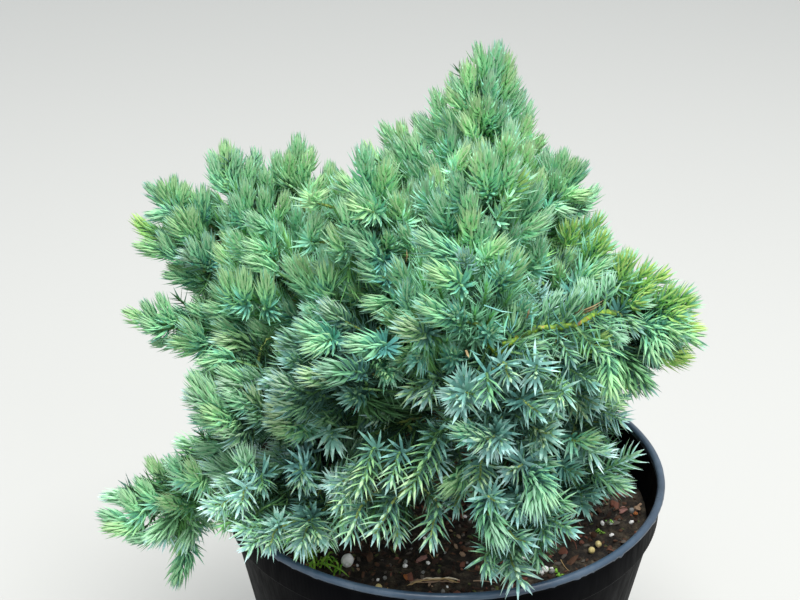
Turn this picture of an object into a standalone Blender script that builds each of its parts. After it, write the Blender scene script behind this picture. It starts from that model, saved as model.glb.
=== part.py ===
"""Potted blue star juniper: a dwarf, many-branched conifer in a black nursery pot.

Metres, +Z up. The origin is at the middle of the pot's flat underside.
The +Y side is the back of the plant, -Y the front, +X the right.

The plant is a short flared stem that forks just above the compost, boughs that fan out from it, and closed uneven
masses of foliage at and beyond the boughs' ends. Every mass is a stretched ball with shoot bumps, trimmed flat against
its neighbours, the limbs, the compost and the pot, so no two solids share any space.
"""
import math
import random

import bmesh
import bpy
from mathutils import Vector

for old in list(bpy.data.objects):
    bpy.data.objects.remove(old, do_unlink=True)

# ---------------------------------------------------------------- driving sizes (metres, degrees)
NAME = "potted_blue_star_juniper"
GAP = 0.0003                 # clearance between pieces that touch

POT_HEIGHT = 0.130
POT_LIP_R = 0.0850           # outside of the rolled lip: a 17 cm pot
POT_LIP_H = 0.0030           # height of the lip
POT_COLLAR_R = 0.0834        # plain band under the lip
POT_COLLAR_H = 0.0110
POT_SHOULDER_R = 0.0812      # where the tapered wall begins
POT_BASE_R = 0.0575
POT_WALL = 0.0013
POT_FLOOR = 0.0020
POT_STEPS = 48

SOIL_EDGE = 0.1130           # 17 mm under the lip
SOIL_CROWN = 0.0035          # mound towards the stem

STEM_FOOT = Vector((0.002, 0.004, SOIL_EDGE + SOIL_CROWN + GAP))
STEM_TOP = Vector((0.008, 0.010, 0.1760))
STEM_R_FOOT = 0.0062         # above the flare
STEM_R_TOP = 0.0034
STEM_FLARE = 0.0046          # extra radius at the cut
STEM_FLARE_H = 0.0070
STEM_SIDES = 12

BOUGH_BEVEL_RES = 2
MASS_RINGS = 8
MASS_SEGS = 11
ROOT_FILL = 1.35             # a mass runs on this much further towards the middle of the plant than to its tip
BUMP = 0.16                  # how far the shoot bumps stand out, as a share of the radius
SEED = 41

# Boughs: name, share of the stem's height where it leaves, radius at the fork, radius at the tip, rise of the middle
# (share of its length), the mass it ends in.
BOUGHS = (
    ("bough_leader",       1.00, 0.0030, 0.0017,  0.04, "mass_top_spire"),
    ("bough_centre",       0.86, 0.0029, 0.0016, -0.10, "mass_centre_crest"),
    ("bough_front",        0.62, 0.0030, 0.0016, -0.12, "mass_front_centre"),
    ("bough_front_left",   0.50, 0.0028, 0.0015, -0.12, "mass_left_front"),
    ("bough_left_crest",   0.80, 0.0028, 0.0015, -0.10, "mass_left_crest"),
    ("bough_left",         0.56, 0.0027, 0.0014, -0.06, "mass_left_tongue"),
    ("bough_upper_left",   0.74, 0.0030, 0.0016, -0.10, "mass_upper_left_peak"),
    ("bough_low_left",     0.26, 0.0030, 0.0018,  0.10, "mass_low_left_run"),
    ("bough_right",        0.68, 0.0031, 0.0018, -0.08, "mass_right_shoulder"),
    ("bough_right_low",    0.30, 0.0026, 0.0014,  0.02, "mass_right_lower"),
    ("bough_back",         0.70, 0.0029, 0.0016, -0.10, "mass_back_crest"),
    ("bough_back_left",    0.42, 0.0027, 0.0015, -0.06, "mass_back_left"),
    ("bough_back_right",   0.46, 0.0027, 0.0015, -0.06, "mass_back_right"),
    ("bough_centre_front", 0.76, 0.0028, 0.0015, -0.12, "mass_centre_breast"),
    ("bough_left_middle",  0.36, 0.0026, 0.0014, -0.02, "mass_left_middle"),
    ("bough_back_low",     0.22, 0.0026, 0.0014,  0.02, "mass_back_low"),
    ("bough_right_outer",  0.50, 0.0026, 0.0014, -0.06, "mass_right_outer"),
)

# Masses: name, middle (right, back, height over the compost's edge, in mm), way it grows (heading from +X, pitch, in
# degrees), half length, half width and half thickness in mm, and where it may reach: "over" the lip's plane, "in" the
# pot's mouth, "out" beyond the lip.
MASSES = (
    ("mass_top_spire",         (12, 30, 146),   (80, 84), (28, 18, 17), "over"),
    ("mass_top_left",          (-10, 24, 125),  (150, 62), (27, 20, 18), "over"),
    ("mass_top_right",         (27, 30, 118),   (50, 66), (25, 16, 16), "over"),
    ("mass_centre_crest",      (14, -14, 132),  (272, 66), (32, 23, 21), "over"),
    ("mass_left_crest",        (-27, -18, 120), (220, 66), (31, 20, 20), "over"),
    ("mass_upper_right",       (37, 24, 112),   (15, 38), (24, 15, 16), "over"),
    ("mass_centre_breast",     (6, -54, 112),   (268, 42), (29, 28, 25), "over"),
    ("mass_right_breast",      (38, -48, 92),   (-50, 22), (24, 22, 20), "over"),
    ("mass_right_shoulder",    (48, -8, 94),    (5, 42), (26, 21, 20), "over"),
    ("mass_right_outer",       (69, -14, 82),   (-5, 14), (25, 21, 20), "over"),
    ("mass_right_lower",       (46, -40, 64),   (-30, -12), (23, 20, 15), "over"),
    ("mass_right_spray",       (52, -18, 28),   (-15, -4), (21, 22, 11), "in"),
    ("mass_front_centre",      (18, -76, 84),   (-80, 2), (23, 26, 20), "over"),
    ("mass_front_droop",       (25, -89, 52),   (-85, -50), (23, 20, 14), "over"),
    ("mass_front_left_low",    (-18, -70, 52),  (-112, -30), (25, 27, 16), "over"),
    ("mass_left_front",        (-36, -50, 86),  (-125, 12), (29, 27, 23), "over"),
    ("mass_left_middle",       (-66, -24, 62),  (195, 4), (27, 25, 18), "over"),
    ("mass_left_tongue",       (-88, 16, 68),   (172, 0), (35, 17, 14), "over"),
    ("mass_upper_left_outer",  (-95, 44, 93),   (160, 22), (26, 20, 21), "over"),
    ("mass_upper_left_far",    (-78, 50, 108),  (150, 64), (25, 18, 16), "over"),
    ("mass_upper_left_peak",   (-53, 42, 104),  (120, 64), (28, 18, 17), "over"),
    ("mass_upper_left_breast", (-62, 8, 94),    (185, 34), (28, 23, 20), "over"),
    ("mass_low_left_root",     (-54, -30, 32),  (200, -4), (26, 22, 13), "over"),
    ("mass_low_left_run",      (-84, -14, 29),  (184, -8), (25, 16, 11), "over"),
    ("mass_low_left_tip",      (-110, -5, 1),   (184, -16), (25, 16, 13), "out"),
    ("mass_low_left_droop",    (-102, -6, -20), (200, -64), (19, 10, 9), "out"),
    ("mass_low_left_front",    (-44, -60, 34),  (-135, -22), (22, 20, 12), "over"),
    ("mass_low_left_hang",     (-69, -49, 27),  (-150, -18), (21, 18, 10), "over"),
    ("mass_back_crest",        (6, 60, 104),    (90, 50), (29, 29, 20), "over"),
    ("mass_back_left",         (-44, 72, 66),   (120, 12), (29, 28, 22), "over"),
    ("mass_back_right",        (46, 60, 68),    (50, 14), (29, 28, 21), "over"),
    ("mass_back_low",          (0, 84, 40),     (90, -10), (23, 30, 15), "over"),
    ("mass_right_back",        (66, 22, 56),    (20, 6), (23, 22, 16), "over"),
    ("mass_left_back_low",     (-68, 36, 36),   (160, -4), (26, 24, 14), "over"),
    ("mass_back_left_low",     (-38, 64, 31),   (118, -8), (24, 26, 12), "over"),
    ("mass_back_right_low",    (42, 54, 33),    (50, -8), (24, 26, 13), "over"),
    ("mass_back_left_upper",   (-22, 58, 92),   (110, 42), (24, 20, 17), "over"),
    ("mass_back_right_upper",  (36, 50, 94),    (48, 44), (23, 18, 17), "over"),
)


# ---------------------------------------------------------------- materials, collection
def material(name, colour, roughness, metallic=0.0):
    mat = bpy.data.materials.new(name)
    mat.use_nodes = True
    shader = mat.node_tree.nodes["Principled BSDF"]
    shader.inputs["Base Color"].default_value = (*colour, 1.0)
    shader.inputs["Roughness"].default_value = roughness
    shader.inputs["Metallic"].default_value = metallic
    return mat


MAT_POT = material("black_plastic", (0.018, 0.019, 0.022), 0.42)
MAT_SOIL = material("dark_compost", (0.040, 0.026, 0.018), 0.95)
MAT_BARK = material("brown_bark", (0.165, 0.098, 0.055), 0.90)
MAT_LEAF = material("blue_green_needles", (0.125, 0.285, 0.215), 0.62)

scene_collection = bpy.context.scene.collection
parts = bpy.data.collections.new(NAME)
scene_collection.children.link(parts)


def add_object(name, data, mat):
    ob = bpy.data.objects.new(name, data)
    parts.objects.link(ob)
    data.materials.append(mat)
    return ob


def smooth(mesh):
    mesh.shade_smooth()
    mesh.set_sharp_from_angle(angle=math.radians(40))


# ---------------------------------------------------------------- pot and compost
def turned(name, profile, steps, mat):
    """A closed turned solid: profile (radius, height) from the axis, over the top, down the outside, to the axis."""
    mesh = bpy.data.meshes.new(name)
    verts = [(r, 0.0, z) for r, z in profile]
    mesh.from_pydata(verts, [(i, i + 1) for i in range(len(verts) - 1)], [])
    ob = add_object(name, mesh, mat)
    screw = ob.modifiers.new("turn", "SCREW")
    screw.angle = math.tau
    screw.steps = screw.render_steps = steps
    screw.axis = "Z"
    screw.use_merge_vertices = True
    screw.merge_threshold = 0.00002
    screw.use_smooth_shade = True
    return ob


def wall_outer(z):
    """Outside radius of the tapered wall at a height."""
    share = (z - 0.004) / (POT_HEIGHT - POT_LIP_H - POT_COLLAR_H - 0.0015 - 0.004)
    return POT_BASE_R + 0.0015 + (POT_SHOULDER_R - POT_BASE_R - 0.0015) * min(max(share, 0.0), 1.0)


def pot_profile():
    lip_low = POT_HEIGHT - POT_LIP_H
    collar_low = lip_low - POT_COLLAR_H
    inner_top = POT_COLLAR_R - POT_WALL
    outside = [
        (POT_LIP_R - 0.0030, POT_HEIGHT - 0.0006),
        (POT_LIP_R - 0.0018, POT_HEIGHT),
        (POT_LIP_R - 0.0006, POT_HEIGHT - 0.0005),
        (POT_LIP_R, POT_HEIGHT - 0.0015),
        (POT_LIP_R, lip_low),
        (POT_COLLAR_R, lip_low - 0.0004),
        (POT_COLLAR_R - 0.0003, collar_low),
        (POT_SHOULDER_R, collar_low - 0.0015),
        (wall_outer(0.004), 0.004),
        (POT_BASE_R, 0.0),
        (0.0, 0.0),
    ]
    inside = [
        (0.0, POT_FLOOR),
        (wall_outer(0.004) - POT_WALL - 0.0012, POT_FLOOR),
        (wall_outer(0.006) - POT_WALL, 0.006),
        (POT_SHOULDER_R - POT_WALL, collar_low - 0.0015),
        (inner_top - 0.0003, collar_low + 0.0006),
        (inner_top, lip_low),
    ]
    return inside + outside


def soil_top(r):
    """Height of the compost at a distance from the axis: a low mound, dished at the edge."""
    share = min(r / 0.078, 1.0)
    return SOIL_EDGE + SOIL_CROWN * (1.0 - share * share)


def soil_profile():
    clear = POT_WALL + GAP + 0.00015
    collar_low = POT_HEIGHT - POT_LIP_H - POT_COLLAR_H
    edge_r = wall_outer(SOIL_EDGE) - clear
    profile = [(0.0, SOIL_EDGE + SOIL_CROWN)]
    for r in (0.042,):
        profile.append((r, soil_top(r)))
    profile += [
        (edge_r, SOIL_EDGE),
        (wall_outer(0.006) - clear - 0.0002, 0.0065),
        (wall_outer(0.004) - clear - 0.0014, POT_FLOOR + GAP),
        (0.0, POT_FLOOR + GAP),
    ]
    assert SOIL_EDGE < collar_low
    return profile


pot = turned("pot", pot_profile(), POT_STEPS, MAT_POT)
soil = turned("soil", soil_profile(), POT_STEPS, MAT_SOIL)


# ---------------------------------------------------------------- stem
def stem_axis(t):
    """Centre line: leans a little, with one slow bend."""
    bend = 0.0022 * math.sin(math.pi * t)
    p = STEM_FOOT.lerp(STEM_TOP, t)
    return Vector((p.x - bend, p.y + 0.4 * bend, p.z))


def stem_radius(t):
    h = t * (STEM_TOP.z - STEM_FOOT.z)
    return STEM_R_FOOT + (STEM_R_TOP - STEM_R_FOOT) * t + STEM_FLARE * math.exp(-h / STEM_FLARE_H * 2.2)


def build_stem():
    levels = (0.0, 0.04, 0.10, 0.20, 0.36, 0.52, 0.68, 0.84, 1.0)
    mesh = bpy.data.meshes.new("stem")
    bm = bmesh.new()
    rings = []
    for t in levels:
        c, r = stem_axis(t), stem_radius(t)
        lobes = 0.16 * math.exp(-t * 7.0)          # root buttresses fade out upwards
        ring = []
        for i in range(STEM_SIDES):
            a = math.tau * i / STEM_SIDES
            rr = r * (1.0 + lobes * math.cos(3 * a + 0.6) + 0.03 * math.cos(2 * a + 5 * t))
            ring.append(bm.verts.new((c.x + rr * math.cos(a), c.y + rr * math.sin(a), c.z)))
        rings.append(ring)
    for low, high in zip(rings, rings[1:]):
        for i in range(STEM_SIDES):
            j = (i + 1) % STEM_SIDES
            bm.faces.new((low[i], low[j], high[j], high[i]))
    bm.faces.new(list(reversed(rings[0])))
    bm.faces.new(rings[-1])
    bm.normal_update()
    outline = [[v.co.copy() for v in ring] for ring in rings]
    bm.to_mesh(mesh)
    bm.free()
    smooth(mesh)
    add_object("stem", mesh, MAT_BARK)
    return outline


stem_rings = build_stem()


# ---------------------------------------------------------------- masses: frames first, limbs next, then the solids
def direction(heading, pitch):
    h, p = math.radians(heading), math.radians(pitch)
    return Vector((math.cos(h) * math.cos(p), math.sin(h) * math.cos(p), math.sin(p)))


class Mass:
    def __init__(self, row):
        self.name, (x, y, h), (heading, pitch), sizes, self.zone = row
        self.centre = Vector((x * 0.001, y * 0.001, SOIL_EDGE + h * 0.001))
        self.axis = direction(heading, pitch)
        self.side = Vector((-math.sin(math.radians(heading)), math.cos(math.radians(heading)), 0.0))
        self.up = self.axis.cross(self.side)
        self.half = Vector([s * 0.001 for s in sizes])
        self.root = self.centre - self.axis * (self.half.x * 0.80)

    def reach(self, way):
        """Radius of the smooth stretched ball in a direction."""
        a, s, u = way.dot(self.axis), way.dot(self.side), way.dot(self.up)
        width = 1.0 - 0.18 * a                        # fuller at the root end, slimmer at the tip
        length = self.half.x * (1.0 if a > 0.0 else ROOT_FILL)
        return 1.0 / math.sqrt((a / length) ** 2 + (s / (self.half.y * width)) ** 2 + (u / (self.half.z * width)) ** 2)


masses = {row[0]: Mass(row) for row in MASSES}


# ---------------------------------------------------------------- boughs
def bough_points(leaves, radius, rise, target, count=6):
    """A limb from the stem's side, or from its top, to the root end of its mass: one even curve."""
    base = stem_axis(leaves)
    if leaves < 1.0:
        out = Vector((target.x - base.x, target.y - base.y, 0.0)).normalized()
        steep = math.sqrt(1.0 - (target - base).normalized().dot(out) ** 2)
        start = base + out * (stem_radius(leaves) * 1.06 + radius * steep * 1.1 + GAP + 0.0003)
    else:
        start = base + Vector((0.0, 0.0, radius * 0.25 + GAP))
    span = (target - start).length
    middle = start.lerp(target, 0.5) + Vector((0.0, 0.0, rise * span))
    pts = []
    for i in range(count):
        t = i / (count - 1)
        pts.append(start * (1 - t) ** 2 + middle * (2 * t * (1 - t)) + target * t ** 2)
    return pts


def rings_of(points, radii, sides=8):
    """The limb as rings of points, for trimming the masses round it."""
    rings = []
    for i, p in enumerate(points):
        a = points[max(i - 1, 0)]
        b = points[min(i + 1, len(points) - 1)]
        t = (b - a).normalized()
        s = t.orthogonal().normalized()
        u = t.cross(s)
        r = radii[i] * 1.12
        rings.append([p + s * (r * math.cos(math.tau * k / sides)) + u * (r * math.sin(math.tau * k / sides))
                      for k in range(sides)])
    return rings


limbs = {"stem": stem_rings}
for name, leaves, r0, r1, rise, goal in BOUGHS:
    pts = bough_points(leaves, r0, rise, masses[goal].root)
    radii = [r0 + (r1 - r0) * i / (len(pts) - 1) for i in range(len(pts))]
    curve = bpy.data.curves.new(name, "CURVE")
    curve.dimensions = "3D"
    curve.bevel_depth = r0
    curve.bevel_resolution = BOUGH_BEVEL_RES
    curve.use_fill_caps = True
    spline = curve.splines.new("POLY")
    spline.points.add(len(pts) - 1)
    for sp, p, r in zip(spline.points, pts, radii):
        sp.co = (*p, 1.0)
        sp.radius = r / r0
    add_object(name, curve, MAT_BARK)
    limbs[name] = rings_of(pts, radii)


# ---------------------------------------------------------------- trimming planes
def nearest_on_segment(p, a, b):
    ab = b - a
    t = max(0.0, min(1.0, (p - a).dot(ab) / ab.length_squared))
    return a + ab * t


def limb_planes(mass):
    """For each stretch of each limb, a plane with the stretch on one side and the mass's middle on the other."""
    planes = []
    for rings in limbs.values():
        mids = [sum(ring, Vector()) / len(ring) for ring in rings]
        for i in range(len(rings) - 1):
            near = nearest_on_segment(mass.centre, mids[i], mids[i + 1])
            away = mass.centre - near
            if away.length > 0.075 or away.length < 1e-6:
                continue
            n = away.normalized()
            offset = max(v.dot(n) for v in rings[i] + rings[i + 1]) + GAP
            planes.append((n, offset))
    return planes


def neighbour_planes(mass):
    """A plane between this mass and each neighbour, set by how far each reaches towards the other."""
    planes = []
    for other in masses.values():
        if other is mass:
            continue
        away = mass.centre - other.centre
        gap = away.length
        n = away.normalized()
        mine, theirs = mass.reach(-n), other.reach(n)
        if gap > 0.11:
            continue
        share = theirs / (mine + theirs)
        point = other.centre + away * share
        planes.append((n, point.dot(n) + GAP * 0.55))
    return planes


def zone_planes(mass):
    planes = [(Vector((0, 0, 1)), SOIL_EDGE + SOIL_CROWN + 0.0015)] if mass.zone != "out" else []
    if mass.zone == "over":
        planes.append((Vector((0, 0, 1)), POT_HEIGHT + 0.0006))
    if mass.zone == "in":
        limit = POT_COLLAR_R - POT_WALL - 0.003
        for k in range(24):
            a = math.tau * k / 24
            planes.append((Vector((-math.cos(a), -math.sin(a), 0.0)), -limit))
    if mass.zone == "out":
        flat = Vector((mass.centre.x, mass.centre.y, 0.0)).normalized()
        planes.append((flat, POT_LIP_R + 0.0008))
    return planes


# ---------------------------------------------------------------- the solids of foliage
def build_mass(index, mass):
    rng = random.Random(SEED * 1000 + index)
    mesh = bpy.data.meshes.new(mass.name)
    bm = bmesh.new()
    bmesh.ops.create_uvsphere(bm, u_segments=MASS_SEGS, v_segments=MASS_RINGS, radius=1.0)
    planes = limb_planes(mass) + neighbour_planes(mass) + zone_planes(mass)
    bumps = []
    for _ in range(9):
        way = Vector((rng.gauss(0.35, 0.8), rng.gauss(0, 0.8), rng.gauss(0.25, 0.8))).normalized()
        bumps.append((way, rng.uniform(0.4, 1.0)))
    for v in bm.verts:
        local = v.co.normalized()                     # local z is the way the mass grows
        way = (mass.axis * local.z + mass.side * local.x + mass.up * local.y).normalized()
        seen = Vector((local.z, local.x, local.y))
        lift = sum(size * math.exp(-((1.0 - seen.dot(b)) / 0.09)) for b, size in bumps)
        r = mass.reach(way) * (0.95 + BUMP * min(lift, 1.1) + rng.uniform(-0.035, 0.035))
        for n, offset in planes:
            toward = way.dot(n)
            if toward < -1e-9:
                r = min(r, (offset - mass.centre.dot(n)) / toward)
        if r < 0.002:
            raise ValueError(f"{mass.name} is squeezed to {r * 1000:.2f} mm")
        v.co = mass.centre + way * r
    bm.normal_update()
    bm.to_mesh(mesh)
    bm.free()
    smooth(mesh)
    add_object(mass.name, mesh, MAT_LEAF)


for index, mass in enumerate(masses.values()):
    build_mass(index, mass)
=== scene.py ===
"""Looks of the potted blue star juniper: needled sprays grown on the limbs, scaly bark, compost and a ribbed black pot.

Every spray grows by one seeded rule. A mass's own twig runs on from the end of its bough, branchlets leave it for
points on the mass's outside, and each branchlet carries side shoots. Needles stand on all of them in whorls of three.
"""

import math

import bmesh
import bpy
import numpy as np
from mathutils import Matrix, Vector, noise
from mathutils.bvhtree import BVHTree
from mathutils.kdtree import KDTree


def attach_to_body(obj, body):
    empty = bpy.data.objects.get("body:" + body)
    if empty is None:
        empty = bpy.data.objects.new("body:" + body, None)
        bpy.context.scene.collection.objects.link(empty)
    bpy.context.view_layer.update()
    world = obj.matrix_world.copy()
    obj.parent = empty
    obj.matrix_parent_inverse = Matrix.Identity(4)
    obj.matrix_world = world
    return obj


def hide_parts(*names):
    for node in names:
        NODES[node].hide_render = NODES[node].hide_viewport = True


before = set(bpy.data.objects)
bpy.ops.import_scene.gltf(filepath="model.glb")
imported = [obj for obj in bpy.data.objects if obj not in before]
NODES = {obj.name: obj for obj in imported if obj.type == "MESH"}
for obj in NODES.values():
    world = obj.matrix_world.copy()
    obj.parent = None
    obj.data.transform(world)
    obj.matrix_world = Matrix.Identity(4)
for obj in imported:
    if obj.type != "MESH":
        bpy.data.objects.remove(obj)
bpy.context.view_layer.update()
RNG = np.random.default_rng(20417)

# ---------------------------------------------------------------- sizes (metres)
POT_H, LIP_R, LIP_H = 0.130, 0.0850, 0.0030
COLLAR_R, COLLAR_H = 0.0834, 0.0110
SHOULDER_R, BASE_R, WALL = 0.0812, 0.0575, 0.0013
SOIL_EDGE, SOIL_CROWN = 0.1130, 0.0035
INNER_SPACING = 0.0105          # between the tips of the dull shoots inside the crown
PIECE_TRIS = 165_000

# How shoots are built, by habit: the needles' angle to the shoot low down and at its tip, needle length, from one whorl
# of three to the next, spacing of neighbouring tips, needled length, needle width, how far a needle bends in towards the
# shoot's tip, and how evenly the whorls are set
HABITS = {
    "finger": (42, 12, 0.0088, 0.00078, 0.0090, 0.0140, 0.00088, 0.27, 0.22),
    "brush": (49, 17, 0.0091, 0.00079, 0.0100, 0.0145, 0.00090, 0.27, 0.24),
    "fan": (44, 17, 0.0090, 0.00104, 0.0100, 0.0150, 0.00102, 0.14, 0.25),
    "star": (66, 28, 0.0084, 0.00100, 0.0110, 0.0110, 0.00104, 0.08, 0.35),
    "fish": (58, 28, 0.0087, 0.00150, 0.0130, 0.0230, 0.00104, 0.10, 0.10),
}
LETTERS = {"F": "finger", "B": "brush", "S": "star", "C": "fish", "W": "fan"}
FAMILIES = {"m": "mint", "g": "green", "y": "yellow", "b": "blue", "s": "silver", "l": "frost", "p": "pale"}

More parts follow.
